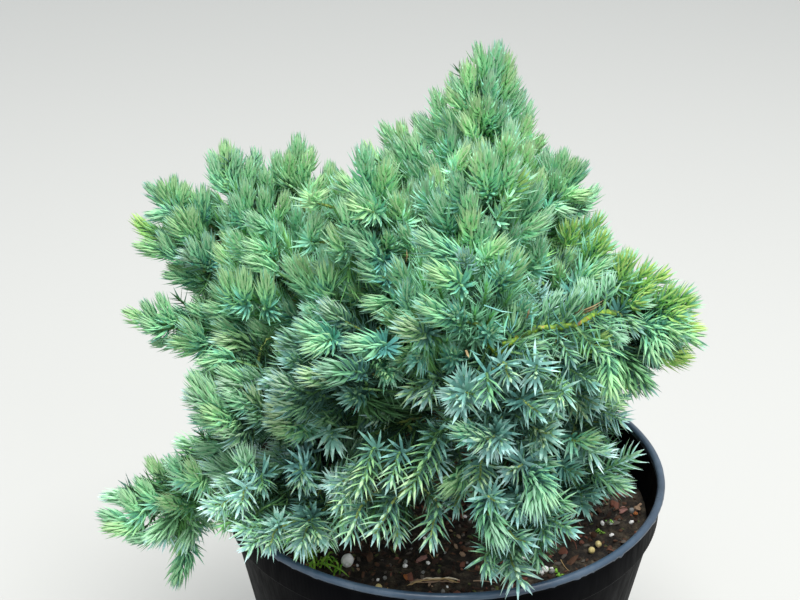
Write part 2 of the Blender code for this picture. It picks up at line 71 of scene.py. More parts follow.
# Sprays that stand out, by where the eye sees them: tip across and down, foot across and down, habit, shade family, how
# many millimetres nearer the tip is than the foot, size. Each one grows from its mass's own wood, as all the others do.
SPRAYS = [
    # the spire and the top to both sides of it
    (499, 43, 494, 78, "Fp"), (509, 54, 500, 82, "Fp"), (477, 45, 484, 75, "Fp"), (467, 61, 471, 92, "Fp"), (453, 78, 470, 106, "Fp"),
    (447, 89, 466, 114, "Fp"), (433, 90, 447, 124, "Fp"), (514, 68, 500, 94, "Fp"), (517, 80, 503, 102, "Fp"), (524, 92, 508, 120, "Fp"),
    (531, 116, 517, 146, "Fp"), (543, 136, 527, 158, "Fp"), (492, 72, 489, 104, "Fp", 8), (489, 96, 487, 126, "Fp", 9), (505, 104, 498, 130, "Fp", 8),
    (475, 96, 480, 122, "Fp", 8), (462, 114, 474, 140, "Fp"), (446, 110, 458, 136, "Fg"), (420, 117, 438, 142, "Fp"), (453, 127, 452, 156, "Fp", 7),
    (381, 124, 398, 150, "Fp"), (399, 124, 406, 152, "Fp"), (414, 116, 432, 142, "Fp"), (407, 136, 421, 162, "Fp", 6), (385, 150, 400, 172, "Fp", 5),
    (424, 152, 441, 180, "Fp", 6), (408, 163, 422, 184, "Fm", 7), (440, 131, 446, 164, "Fp", 6), (470, 146, 456, 172, "Fp", 6), (394, 138, 408, 160, "Fp", 5),
    (545, 152, 551, 182, "Fp"), (565, 150, 557, 184, "Fm"), (577, 159, 562, 186, "Fm"), (587, 163, 567, 186, "Fg"), (590, 194, 564, 197, "Fm"),
    (574, 213, 549, 207, "Fp"), (556, 171, 551, 198, "Fm", 7), (541, 184, 527, 214, "Fm", 6), (548, 217, 516, 236, "Fp"), (530, 142, 522, 168, "Fp", 6),
    # left crest and centre crest
    (362, 146, 368, 186, "Bm", 5, 1.05), (335, 178, 360, 196, "Bg", 4), (388, 161, 382, 202, "Bm", 6, 1.05), (347, 200, 373, 212, "Bm", 4), (353, 187, 377, 212, "Bm", 7),
    (394, 193, 402, 224, "Bm", 7), (413, 181, 408, 214, "Bp", 6, 1.05), (437, 194, 449, 230, "Bm", 6, 1.1), (455, 172, 465, 206, "Bm", 7), (470, 190, 470, 225, "Bp", 8),
    (343, 228, 371, 246, "Bm", 5, 1.05), (330, 226, 343, 250, "Fm", 4), (356, 244, 384, 262, "Bg", 6), (358, 263, 388, 280, "Bg", 5), (400, 226, 415, 254, "Bg", 8),
    (487, 147, 489, 190, "Bm", 6, 1.1), (508, 134, 503, 165, "Bm", 6), (476, 152, 484, 188, "Bp", 7), (529, 172, 507, 198, "Wy", 5, 1.05), (518, 158, 504, 186, "Bp", 6),
    (514, 188, 497, 222, "Cm", 6), (427, 178, 430, 206, "Bp", 6),
    # the breast
    (416, 234, 452, 254, "Bg", 5, 1.12), (431, 217, 455, 242, "Bg", 7), (470, 208, 471, 246, "Bp", 7, 1.1), (488, 218, 479, 251, "Bm", 6), (507, 239, 486, 259, "Bm", 5, 1.1),
    (463, 252, 466, 268, "Bs", 9, 0.75), (427, 268, 461, 284, "Bg", 5, 1.08), (521, 250, 505, 282, "Bg", 5, 1.12), (541, 235, 535, 270, "Bm", 6), (559, 262, 557, 291, "Bm", 7),
    (536, 282, 541, 306, "Ss", 8), (407, 280, 407, 301, "Fg", 6, 0.8), (417, 303, 447, 316, "Bg", 5, 1.05), (397, 324, 426, 334, "Bs", 5, 1.05), (344, 344, 386, 346, "Bg", 5, 1.12),
    (362, 306, 400, 303, "Bg", 4), (317, 370, 360, 373, "Bb", 4, 1.1), (298, 373, 325, 378, "Bs", 4),
    # right shoulder and right end
    (565, 220, 565, 250, "Wy", 5), (575, 218, 567, 252, "Wy", 5, 1.05), (589, 216, 579, 248, "Wy", 6), (602, 213, 585, 246, "Wy", 4, 1.1), (608, 230, 588, 256, "Wy", 5),
    (614, 243, 588, 262, "Wy", 7, 1.1), (612, 262, 583, 274, "Wm", 5, 1.1), (604, 275, 578, 281, "Wg", 4), (625, 251, 614, 284, "Wy", 5), (634, 252, 619, 286, "Wy", 4),
    (654, 263, 626, 292, "Wy", 4, 1.1), (671, 272, 642, 290, "Wy", 4, 1.1), (657, 286, 630, 297, "Wy", 6), (648, 301, 624, 306, "Wy", 9, 1.1), (677, 285, 654, 306, "Wy", 4),
    (693, 290, 668, 306, "Wy", 4, 1.05), (700, 302, 668, 311, "Wy", 5, 1.1), (690, 316, 662, 316, "Wy", 6), (703, 345, 668, 326, "Wg", 4, 1.1), (684, 338, 657, 324, "Wg", 6),
    (590, 286, 570, 292, "Sg", 6), (640, 332, 618, 312, "Wb", 6), (657, 366, 643, 326, "Wg", 4, 1.12), (670, 356, 650, 326, "Wg", 4),
    # under the right end
    (613, 401, 604, 346, "Wg", 4, 1.12), (652, 393, 614, 346, "Wb", 4, 1.15), (638, 397, 612, 356, "Wg", 3, 1.05), (513, 386, 503, 362, "Ss", 7), (536, 386, 536, 364, "Ss", 8, 1.08),
    (600, 386, 568, 368, "Sb", 6, 1.05), (588, 424, 573, 390, "Ss", 5, 1.15), (602, 409, 577, 391, "Ss", 5, 1.05), (551, 410, 562, 390, "Ss", 6), (547, 418, 524, 401, "Sb", 6),
    (625, 406, 603, 402, "Fm", 3),
    # the open lower front
    (546, 454, 541, 432, "Ss", 7, 1.12), (561, 434, 540, 432, "Ss", 5), (490, 410, 487, 372, "Cb", 3), (484, 458, 494, 434, "Ss", 6, 1.1), (466, 444, 494, 436, "Ss", 4, 1.08),
    (452, 427, 472, 434, "Bg", 5), (478, 494, 482, 460, "Ss", 6, 1.18), (501, 478, 524, 462, "Ss", 6, 1.12), (536, 518, 533, 478, "Bb", 6, 1.2), (553, 507, 538, 478, "Bg", 4, 1.12),
    (507, 508, 488, 496, "Sb", 4), (442, 494, 466, 470, "Bg", 5, 1.08), (450, 516, 462, 488, "Ss", 5, 1.05), (461, 370, 466, 384, "Sb", 7, 0.9), (460, 416, 465, 392, "Ss", 8, 1.2),
    (443, 402, 464, 392, "Ss", 5, 1.1), (484, 397, 466, 392, "Sb", 5, 1.05), (503, 549, 486, 505, "Bb", 5, 1.1), (524, 594, 511, 556, "Ss", 5, 1.2), (536, 547, 512, 535, "Sb", 4, 1.05),
    (493, 581, 485, 556, "Sb", 3), (476, 576, 466, 546, "Cb", 3), (579, 534, 552, 520, "Sb", 5), (583, 514, 581, 495, "Sb", 8, 1.1), (643, 450, 594, 474, "Cl", 3, 1.05),
    (633, 490, 600, 478, "Wl", 3), (586, 478, 562, 466, "Sg", 3), (602, 438, 572, 440, "Wg", 3), (614, 449, 592, 452, "Wl", 3),
    (356, 499, 374, 448, "Cs", 4, 1.05), (328, 491, 362, 468, "Cs", 4), (387, 492, 400, 452, "Cs", 4), (404, 503, 437, 436, "Cs", 5, 1.05), (369, 544, 394, 500, "Cs", 4, 1.05),
    (345, 547, 360, 508, "Cs", 4, 1.05), (428, 552, 437, 502, "Cs", 4, 1.1), (397, 400, 440, 374, "Cs", 4, 1.08), (418, 409, 438, 378, "Cs", 5), (366, 424, 396, 408, "Ss", 4, 1.08),
    (333, 448, 332, 428, "Ss", 9, 1.2),
    # left middle
    (285, 257, 318, 302, "Bm", 4), (297, 256, 314, 288, "Bm", 5), (324, 262, 332, 300, "Bg", 5), (243, 269, 246, 305, "Fg", 5, 1.05), (265, 271, 268, 310, "Fg", 5, 1.05),
    (222, 269, 236, 302, "Fg", 5), (320, 303, 346, 322, "Bs", 5), (295, 325, 332, 338, "Bg", 5, 1.08), (303, 350, 332, 340, "Bg", 4), (124, 312, 152, 322, "Fm", 3),
    (143, 302, 160, 325, "Fg", 4), (157, 294, 172, 322, "Fm", 4), (170, 343, 207, 346, "Bg", 4, 1.05), (182, 322, 208, 345, "Bg", 5), (204, 306, 236, 315, "Fg", 4, 1.05),
    (211, 287, 236, 308, "Fm", 5), (214, 341, 250, 344, "Bs", 5, 1.08), (214, 323, 240, 335, "Bg", 4), (164, 291, 192, 290, "Fg", 3), (164, 275, 192, 278, "Fg", 3),
    (198, 364, 226, 358, "Fg", 3), (140, 322, 165, 330, "Fg", 3),
    # upper left
    (225, 142, 227, 180, "Fm", 4, 1.05), (211, 156, 222, 186, "Fm", 3), (238, 151, 233, 185, "Fm", 5), (252, 158, 246, 188, "Fm", 4), (277, 152, 280, 186, "Fm", 4, 1.05),
    (264, 168, 268, 198, "Fm", 5), (146, 185, 170, 207, "Fg", 3), (159, 182, 172, 207, "Fg", 5), (174, 177, 173, 207, "Fg", 4), (185, 183, 180, 208, "Fg", 3),
    (147, 215, 173, 214, "Fg", 3), (203, 187, 203, 220, "Fg", 4, 1.05), (135, 245, 172, 252, "Fg", 3, 1.05), (159, 233, 180, 258, "Fg", 4), (168, 219, 196, 241, "Bg", 4),
    (176, 209, 199, 236, "Bg", 5), (180, 252, 207, 262, "Bs", 4), (207, 234, 210, 264, "Fg", 6), (222, 206, 236, 236, "Fm", 6), (246, 180, 249, 214, "Fm", 6),
    (231, 194, 244, 222, "Fm", 6), (262, 188, 266, 222, "Fm", 6), (286, 192, 279, 225, "Fm", 6), (246, 213, 274, 236, "Fm", 6), (229, 232, 246, 252, "Bm", 6),
    (244, 243, 270, 252, "Fm", 4), (243, 259, 270, 268, "Fm", 4), (297, 136, 298, 170, "Fm", 4, 1.05), (312, 149, 303, 180, "Fm", 4), (323, 177, 311, 197, "Fm", 3),
    (327, 191, 311, 201, "Fm", 3), (318, 212, 312, 242, "Bm", 6), (297, 206, 299, 238, "Bm", 6), (289, 152, 290, 182, "Fm", 6), (340, 200, 349, 224, "Fm", 3),
    (192, 208, 194, 234, "Fg", 5), (190, 240, 200, 262, "Fg", 4),
    # left, low
    (190, 374, 214, 408, "Fm", 4, 1.1), (201, 377, 218, 404, "Fm", 4), (185, 392, 213, 408, "Bs", 3), (201, 409, 232, 422, "Bm", 4), (220, 369, 248, 384, "Fm", 5, 1.1),
    (217, 385, 244, 388, "Bs", 4), (222, 394, 248, 403, "Fm", 5), (249, 387, 262, 408, "Bs", 6), (271, 377, 297, 390, "Bs", 6), (271, 397, 299, 405, "Bs", 7),
    (266, 408, 295, 413, "Bs", 5), (265, 423, 297, 422, "Bs", 5), (273, 431, 308, 428, "Fm", 5, 1.1), (192, 419, 218, 420, "Fg", 3), (216, 430, 242, 434, "Bs", 4),
    (196, 450, 226, 450, "Fm", 4, 1.05), (240, 443, 248, 468, "Bl", 4), (221, 452, 246, 470, "Bm", 4), (201, 464, 238, 475, "Bl", 4, 1.05), (254, 448, 257, 476, "Bl", 4),
    (258, 456, 287, 460, "Bl", 4), (262, 471, 287, 466, "Bb", 4), (283, 474, 304, 452, "Ss", 5, 1.1), (299, 497, 302, 462, "Cs", 4), (316, 493, 302, 470, "Sb", 4),
    (243, 371, 268, 385, "Bb", 6), (206, 382, 226, 413, "Fm", 5),
    (98, 514, 134, 521, "Fm", 3), (103, 529, 137, 525, "Fm", 3), (121, 490, 141, 513, "Fm", 3), (136, 479, 158, 503, "Fm", 3), (148, 458, 168, 486, "Fm", 3),
    (169, 456, 189, 481, "Bm", 4), (187, 460, 203, 483, "Bm", 4), (129, 541, 156, 533, "Fm", 3), (147, 541, 170, 522, "Bl", 4, 1.1), (162, 547, 172, 524, "Sl", 5),
    (184, 550, 193, 522, "Bl", 4, 1.15), (174, 585, 188, 548, "Bg", 3, 1.05), (237, 515, 246, 488, "Sl", 5, 1.05), (206, 518, 229, 500, "Sl", 4), (199, 506, 226, 503, "Sl", 4),
    (215, 482, 242, 484, "Bl", 5), (229, 533, 270, 522, "Cl", 4, 1.05), (240, 555, 268, 530, "Sl", 4), (265, 556, 276, 530, "Ss", 4), (276, 519, 280, 527, "Ss", 9, 0.95),
    (298, 555, 310, 518, "Ss", 6, 1.25), (322, 549, 312, 520, "Ss", 5, 1.1), (263, 496, 262, 474, "Sb", 5), (158, 500, 182, 506, "Bm", 6), (176, 480, 200, 490, "Bl", 5),
]
# where the eye sees into the crown's dark, or past it: across, down, radius
OPENINGS = [
    (386, 396, 13), (410, 425, 16), (392, 437, 9), (449, 448, 8), (447, 466, 8), (290, 310, 12), (262, 362, 6), (414, 357, 9), (388, 317, 7), (574, 342, 9),
    (539, 390, 5), (323, 487, 11), (338, 456, 11), (318, 507, 12), (299, 507, 8), (462, 548, 12), (450, 530, 9), (405, 525, 7), (511, 490, 6), (563, 502, 6),
    (329, 205, 7), (334, 190, 5), (445, 318, 6), (500, 300, 5), (165, 228, 8), (198, 428, 6), (345, 508, 6),
]


def unit(v):
    v = np.asarray(v, float)
    return v / max(np.linalg.norm(v), 1e-12)


def rows_unit(v):
    return v / np.maximum(np.linalg.norm(v, axis=-1, keepdims=True), 1e-12)


def way(heading, pitch):
    h, p = math.radians(heading), math.radians(pitch)
    return np.array([math.cos(h) * math.cos(p), math.sin(h) * math.cos(p), math.sin(p)])


# ---------------------------------------------------------------- the eye
EYE = np.array([0.0, -0.5295, 0.4531])
PITCH, YAW, FOCAL = math.radians(25.516), math.radians(-1.749), 1600.0
LOOK = np.array([math.sin(YAW) * math.cos(PITCH), math.cos(YAW) * math.cos(PITCH), -math.sin(PITCH)])
ACROSS = unit(np.cross(LOOK, [0.0, 0.0, 1.0]))
ALOFT = np.cross(ACROSS, LOOK)


def sight(u, v):
    """The direction in which the eye sees a place in the 800 x 600 picture."""
    return unit(LOOK * FOCAL + ACROSS * (u - 400) - ALOFT * (v - 300))


def in_picture(p):
    q = np.asarray(p) - EYE
    depth = q @ LOOK
    return np.stack([400 + FOCAL * (q @ ACROSS) / depth, 300 - FOCAL * (q @ ALOFT) / depth], -1)


# ---------------------------------------------------------------- how each mass grows
# name: heading, pitch, the limb it grows from, pull of the light on its shoots (up, or down where they hang), shade
# family of its needles, habit
GROWTH = {
    "mass_top_spire":         (80, 84, "bough_leader", 0.70, "pale", "finger"),
    "mass_top_left":          (150, 62, "bough_leader", 0.80, "pale", "finger"),
    "mass_top_right":         (50, 66, "bough_leader", 0.75, "mint", "finger"),
    "mass_centre_crest":      (272, 66, "bough_centre", 0.80, "pale", "finger"),
    "mass_left_crest":        (220, 66, "bough_left_crest", 0.80, "green", "finger"),
    "mass_upper_right":       (15, 38, "bough_leader", 0.60, "mint", "finger"),
    "mass_centre_breast":     (268, 42, "bough_centre_front", 0.50, "green", "brush"),
    "mass_right_breast":      (-50, 22, "bough_right", 0.25, "green", "brush"),
    "mass_right_shoulder":    (5, 42, "bough_right", 0.55, "yellow", "brush"),
    "mass_right_outer":       (-5, 8, "bough_right_outer", 0.18, "yellow", "brush"),
    "mass_right_lower":       (-30, -12, "bough_right_low", -0.05, "blue", "star"),
    "mass_right_spray":       (-15, -4, "bough_right_low", 0.10, "blue", "star"),
    "mass_front_centre":      (-80, 2, "bough_front", 0.05, "blue", "star"),
    "mass_front_droop":       (-85, -42, "bough_front", -0.22, "blue", "star"),
    "mass_front_left_low":    (-112, -30, "bough_front", -0.25, "silver", "fish"),
    "mass_left_front":        (-125, 12, "bough_front_left", 0.15, "blue", "brush"),
    "mass_left_middle":       (195, 4, "bough_left_middle", 0.18, "blue", "brush"),
    "mass_left_tongue":       (172, 0, "bough_left", 0.26, "green", "finger"),
    "mass_upper_left_outer":  (160, 24, "bough_upper_left", 0.70, "green", "finger"),
    "mass_upper_left_far":    (150, 64, "bough_upper_left", 0.85, "mint", "finger"),
    "mass_upper_left_peak":   (120, 64, "bough_upper_left", 0.85, "mint", "finger"),
    "mass_upper_left_breast": (185, 44, "bough_upper_left", 0.85, "mint", "finger"),
    "mass_low_left_root":     (200, -4, "bough_low_left", 0.10, "frost", "brush"),
    "mass_low_left_run":      (184, -8, "bough_low_left", 0.20, "frost", "brush"),
    "mass_low_left_tip":      (184, -16, "mass_low_left_run", 0.15, "frost", "finger"),
    "mass_low_left_droop":    (200, -64, "mass_low_left_tip", -0.4, "frost", "brush"),
    "mass_low_left_front":    (-135, -22, "bough_low_left", -0.10, "frost", "star"),
    "mass_low_left_hang":     (-150, -18, "mass_low_left_root", -0.10, "frost", "star"),
    "mass_back_crest":        (90, 50, "bough_back", 0.45, "mint", "finger"),
    "mass_back_left":         (120, 12, "bough_back_left", 0.25, "green", "brush"),
    "mass_back_right":        (50, 14, "bough_back_right", 0.25, "green", "brush"),
    "mass_back_low":          (90, -10, "bough_back_low", 0.05, "blue", "star"),
    "mass_right_back":        (20, 6, "bough_right", 0.20, "green", "brush"),
    "mass_left_back_low":     (160, -4, "bough_left", 0.10, "blue", "brush"),
    "mass_back_left_low":     (118, -8, "bough_back_left", 0.0, "silver", "star"),
    "mass_back_right_low":    (50, -8, "bough_back_right", 0.0, "silver", "star"),
    "mass_back_left_upper":   (110, 42, "bough_back", 0.45, "green", "finger"),
    "mass_back_right_upper":  (48, 44, "bough_back_right", 0.45, "green", "finger"),
}

# where the eye sees the crown's own shade between the sprays: across, down, half width, half height. Shoots there are
# fewer and take the darkest colours, as painted shade.
SHADED_ZONES = [(385, 430, 72, 66), (325, 490, 75, 50), (440, 540, 62, 52), (560, 490, 42, 40), (262, 350, 22, 30), (262, 440, 30, 16), (560, 360, 60, 24), (400, 330, 40, 18)]


def in_shaded_zone(p):
    u, v = in_picture(p)
    return any(((u - a) / c) ** 2 + ((v - b) / d) ** 2 < 1.0 for a, b, c, d in SHADED_ZONES) and p[1] < -0.005


# Needle shades, as linear colours: inner face old, young and at a young needle's tip, then the same for the outer face.
# One set is dealt to each spray.
SHADES = {
    "mint": (
        ((0.226, 0.574, 0.423), (0.294, 0.616, 0.428), (0.256, 0.465, 0.332), (0.223, 0.557, 0.310), (0.294, 0.601, 0.314), (0.268, 0.463, 0.259)),
        ((0.207, 0.540, 0.429), (0.270, 0.581, 0.438), (0.239, 0.443, 0.339), (0.199, 0.517, 0.313), (0.267, 0.566, 0.320), (0.247, 0.439, 0.267)),
        ((0.253, 0.594, 0.402), (0.332, 0.642, 0.406), (0.290, 0.481, 0.311), (0.254, 0.581, 0.289), (0.337, 0.631, 0.300), (0.305, 0.482, 0.244)),
    ),
    # the mint shades made lighter for the spire, the top and the centre crest: painted light
    "pale": (
        ((0.304, 0.713, 0.534), (0.370, 0.713, 0.511), (0.286, 0.481, 0.360), (0.295, 0.683, 0.388), (0.369, 0.694, 0.374), (0.299, 0.479, 0.281)),
        ((0.277, 0.671, 0.544), (0.340, 0.673, 0.522), (0.266, 0.458, 0.369), (0.265, 0.634, 0.393), (0.334, 0.652, 0.383), (0.276, 0.455, 0.290)),
        ((0.340, 0.738, 0.508), (0.419, 0.744, 0.485), (0.323, 0.500, 0.339), (0.336, 0.714, 0.364), (0.424, 0.727, 0.357), (0.341, 0.501, 0.266)),
    ),
    "green": (
        ((0.129, 0.400, 0.341), (0.223, 0.530, 0.408), (0.227, 0.428, 0.337), (0.130, 0.372, 0.229), (0.227, 0.508, 0.267), (0.239, 0.419, 0.230)),
        ((0.127, 0.393, 0.367), (0.217, 0.516, 0.432), (0.223, 0.423, 0.355), (0.123, 0.355, 0.243), (0.212, 0.484, 0.281), (0.226, 0.403, 0.241)),
        ((0.137, 0.400, 0.309), (0.233, 0.536, 0.375), (0.234, 0.432, 0.316), (0.147, 0.388, 0.208), (0.256, 0.532, 0.245), (0.260, 0.434, 0.217)),
    ),
    "yellow": (
        ((0.139, 0.383, 0.267), (0.244, 0.525, 0.344), (0.287, 0.486, 0.321), (0.196, 0.430, 0.127), (0.354, 0.620, 0.162), (0.390, 0.552, 0.164)),
        ((0.133, 0.373, 0.283), (0.234, 0.508, 0.357), (0.274, 0.475, 0.337), (0.174, 0.408, 0.135), (0.317, 0.586, 0.172), (0.354, 0.529, 0.175)),
        ((0.128, 0.364, 0.262), (0.223, 0.496, 0.340), (0.264, 0.465, 0.322), (0.161, 0.395, 0.130), (0.292, 0.566, 0.167), (0.331, 0.512, 0.167)),
    ),
    # blue and silver: the outer faces' old shades are much darker than the young ones, partly the older needles' own
    # colour and partly painted shade on the undersides
    "blue": (
        ((0.086, 0.239, 0.220), (0.185, 0.411, 0.362), (0.302, 0.528, 0.485), (0.059, 0.177, 0.086), (0.123, 0.308, 0.149), (0.207, 0.386, 0.236)),
        ((0.082, 0.230, 0.204), (0.176, 0.397, 0.334), (0.284, 0.515, 0.448), (0.063, 0.182, 0.079), (0.129, 0.317, 0.137), (0.217, 0.399, 0.224)),
        ((0.093, 0.247, 0.237), (0.204, 0.433, 0.394), (0.328, 0.553, 0.526), (0.060, 0.176, 0.097), (0.126, 0.308, 0.166), (0.212, 0.386, 0.261)),
    ),
    "silver": (
        ((0.104, 0.263, 0.234), (0.213, 0.437, 0.388), (0.363, 0.592, 0.542), (0.077, 0.199, 0.101), (0.171, 0.355, 0.176), (0.308, 0.476, 0.299)),
        ((0.113, 0.273, 0.251), (0.227, 0.453, 0.416), (0.386, 0.606, 0.575), (0.077, 0.193, 0.110), (0.173, 0.350, 0.190), (0.311, 0.466, 0.325)),
        ((0.102, 0.260, 0.210), (0.205, 0.429, 0.348), (0.346, 0.579, 0.487), (0.082, 0.209, 0.096), (0.190, 0.374, 0.163), (0.338, 0.501, 0.282)),
    ),
    # the silver shades made lighter for the low left masses: painted light
    "frost": (
        ((0.264, 0.531, 0.475), (0.396, 0.679, 0.616), (0.558, 0.800, 0.760), (0.160, 0.375, 0.181), (0.250, 0.507, 0.263), (0.377, 0.623, 0.399)),
        ((0.288, 0.551, 0.515), (0.421, 0.702, 0.668), (0.594, 0.800, 0.797), (0.160, 0.365, 0.196), (0.250, 0.495, 0.282), (0.377, 0.611, 0.419)),
    ),
}
# darker copies of the same, as painted shade: for shoots that stand in the crown's own shade (the first for the upper
# and low left masses, the second for the others, the third and darkest for the shaded zones), and for the dull ones
# inside it
PAINTED_SHADE_SETS = (
    ((0.196, 0.470, 0.297), (0.263, 0.560, 0.375), (0.319, 0.627, 0.431), (0.168, 0.420, 0.134), (0.230, 0.515, 0.179), (0.297, 0.582, 0.235)),
    ((0.044, 0.115, 0.089), (0.065, 0.150, 0.121), (0.091, 0.189, 0.156), (0.038, 0.103, 0.037), (0.053, 0.136, 0.052), (0.077, 0.171, 0.073)),
    ((0.024, 0.064, 0.044), (0.034, 0.084, 0.063), (0.050, 0.110, 0.085), (0.021, 0.058, 0.019), (0.032, 0.078, 0.027), (0.044, 0.101, 0.040)),
)
# the dull shoots inside the crown: older needles' own dull colour, darkened further as painted shade
INNER_OLD_AND_SHADED_SETS = (
    ((0.033, 0.090, 0.060), (0.048, 0.120, 0.078), (0.066, 0.150, 0.096), (0.027, 0.075, 0.027), (0.042, 0.108, 0.039), (0.060, 0.138, 0.054)),
    ((0.036, 0.090, 0.072), (0.051, 0.120, 0.096), (0.072, 0.153, 0.120), (0.027, 0.072, 0.033), (0.042, 0.105, 0.048), (0.060, 0.135, 0.066)),
)
DEAD_SHADES = (
    ((0.200, 0.150, 0.080), (0.280, 0.215, 0.125), (0.340, 0.270, 0.165), (0.180, 0.130, 0.066), (0.250, 0.190, 0.105), (0.310, 0.240, 0.140)),
)


# ---------------------------------------------------------------- materials
def plain(name, colour, roughness, spec=0.45):
    m = bpy.data.materials.new(name)
    m.use_nodes = True
    b = m.node_tree.nodes["Principled BSDF"]
    b.inputs["Base Color"].default_value = (*colour, 1.0)
    b.inputs["Roughness"].default_value = roughness
    b.inputs["Specular IOR Level"].default_value = spec
    return m


PALETTE = []            # six materials for each shade set
# blue and silver, the families of the front and lower masses, are darkened overall, as painted shade
TONE = {"mint": (1.0, 1.0, 1.0), "green": (1.0, 1.0, 1.0), "yellow": (1.0, 1.0, 1.0), "blue": (0.88, 0.88, 0.88), "silver": (0.92, 0.90, 0.92)}


def add_shades(name, sets):
    first = len(PALETTE) // 6
    tone = TONE.get(name, (1.0, 1.0, 1.0))
    for k, shades in enumerate(sets):
        for part, colour in zip(("inner_old", "inner_young", "inner_pale", "outer_old", "outer_young", "outer_pale"), shades):
            colour = tuple(min(c * g, 0.85) for c, g in zip(colour, tone))
            PALETTE.append(plain(f"needle_{name}_{k}_{part}", colour, 0.62 if part.startswith("inner") else 0.58, 0.09))
    return list(range(first, first + len(sets)))


SHADE_IDS = {name: add_shades(name, sets) for name, sets in SHADES.items()}
PAINTED_SHADE_IDS = add_shades("deep", PAINTED_SHADE_SETS)
INNER_OLD_AND_SHADED_IDS = add_shades("inner", INNER_OLD_AND_SHADED_SETS)
DEAD_IDS = add_shades("dead", DEAD_SHADES)


# ---------------------------------------------------------------- reading the frame
def node_mesh(name):
    me = NODES[name].data
    me.calc_loop_triangles()
    v = np.empty(len(me.vertices) * 3, np.float32)
    me.vertices.foreach_get("co", v)
    t = np.empty(len(me.loop_triangles) * 3, np.int32)
    me.loop_triangles.foreach_get("vertices", t)
    return v.reshape(-1, 3).astype(float), t.reshape(-1, 3)


def tube_rings(name, sides):
    """The middle line and radii of a limb, from its rings of vertices, foot first."""
    v, _ = node_mesh(name)
    v = np.unique(np.round(v, 6), axis=0)
    centre = v.mean(0)
    _, _, vt = np.linalg.svd(v - centre)
    along = (v - centre) @ vt[0]
    v = v[np.argsort(along)]
    count = len(v) // sides
    rings = [v[i * sides:(i + 1) * sides] for i in range(count)]
    mids = np.array([r.mean(0) for r in rings])
    radii = np.array([np.linalg.norm(r - r.mean(0), axis=1).mean() for r in rings])
    foot = np.array([0.004, 0.006])
    if np.linalg.norm(mids[0][:2] - foot) + abs(mids[0][2] - 0.13) > np.linalg.norm(mids[-1][:2] - foot) + abs(mids[-1][2] - 0.13):
        mids, radii = mids[::-1], radii[::-1]
    return mids, radii


def stem_rings():
    v, _ = node_mesh("stem")
    v = np.unique(np.round(v, 6), axis=0)
    levels = sorted(set(np.round(v[:, 2], 5)))
    mids, radii = [], []
    for z in levels:
        ring = v[np.abs(v[:, 2] - z) < 2e-5]
        mids.append(ring.mean(0))
        radii.append(np.linalg.norm(ring - ring.mean(0), axis=1).mean())
    return np.array(mids), np.array(radii)


def resample(points, radii, step):
    """An even, smooth run of points along a line (Catmull-Rom through them)."""
    p = np.asarray(points, float)
    ext = np.vstack([2 * p[0] - p[1], p, 2 * p[-1] - p[-2]])
    out, rad = [], []
    for i in range(1, len(ext) - 2):
        a, b, c, d = ext[i - 1:i + 3]
        n = max(1, int(round(np.linalg.norm(c - b) / step)))
        for k in range(n):
            t = k / n
            out.append(0.5 * ((2 * b) + (c - a) * t + (2 * a - 5 * b + 4 * c - d) * t ** 2 + (3 * b - a - 3 * c + d) * t ** 3))
            rad.append(radii[i - 1] * (1 - t) + radii[i] * t)
    out.append(p[-1])
    rad.append(radii[-1])
    return np.array(out), np.array(rad)


class Builder:
    """Collects triangles and their material slots for one piece."""

    def __init__(self):
        self.v, self.f, self.m, self.n = [], [], [], 0

    def add(self, verts, faces, mats):
        self.v.append(np.asarray(verts, np.float32).reshape(-1, 3))
        self.f.append(np.asarray(faces, np.int32).reshape(-1, 3) + self.n)
        self.m.append(np.broadcast_to(np.asarray(mats, np.int32), (len(self.f[-1]),)).copy())
        self.n += len(self.v[-1])

    def tris(self):
        return sum(len(f) for f in self.f)

    def mesh(self, name, materials, smooth=False):
        v, f, m = np.vstack(self.v), np.vstack(self.f), np.concatenate(self.m)
        me = bpy.data.meshes.new(name)
        me.vertices.add(len(v))
        me.vertices.foreach_set("co", v.ravel())
        me.loops.add(len(f) * 3)
        me.loops.foreach_set("vertex_index", f.ravel())
        me.polygons.add(len(f))
        me.polygons.foreach_set("loop_start", np.arange(0, len(f) * 3, 3, dtype=np.int32))
        used = np.unique(m)
        remap = {int(u): i for i, u in enumerate(used)}
        for u in used:
            me.materials.append(materials[int(u)])
        me.polygons.foreach_set("material_index", np.array([remap[int(x)] for x in m], np.int32))
        me.polygons.foreach_set("use_smooth", np.full(len(f), smooth))
        me.update(calc_edges=True)
        ob = bpy.data.objects.new(name, me)
        bpy.context.scene.collection.objects.link(ob)
        return ob


def frames_along(points):
    """Tangent and two side directions at each point, turning as little as possible."""
    p = np.asarray(points)
    t = np.empty_like(p)
    t[1:-1] = p[2:] - p[:-2]
    t[0], t[-1] = p[1] - p[0], p[-1] - p[-2]
    t = rows_unit(t)
    a = np.empty_like(p)
    ref = np.array([0.0, 0.0, 1.0]) if abs(t[0][2]) < 0.8 else np.array([1.0, 0.0, 0.0])
    a[0] = unit(np.cross(t[0], ref))
    for i in range(1, len(p)):
        a[i] = unit(a[i - 1] - t[i] * np.dot(a[i - 1], t[i]))
    return t, a, np.cross(t, a)


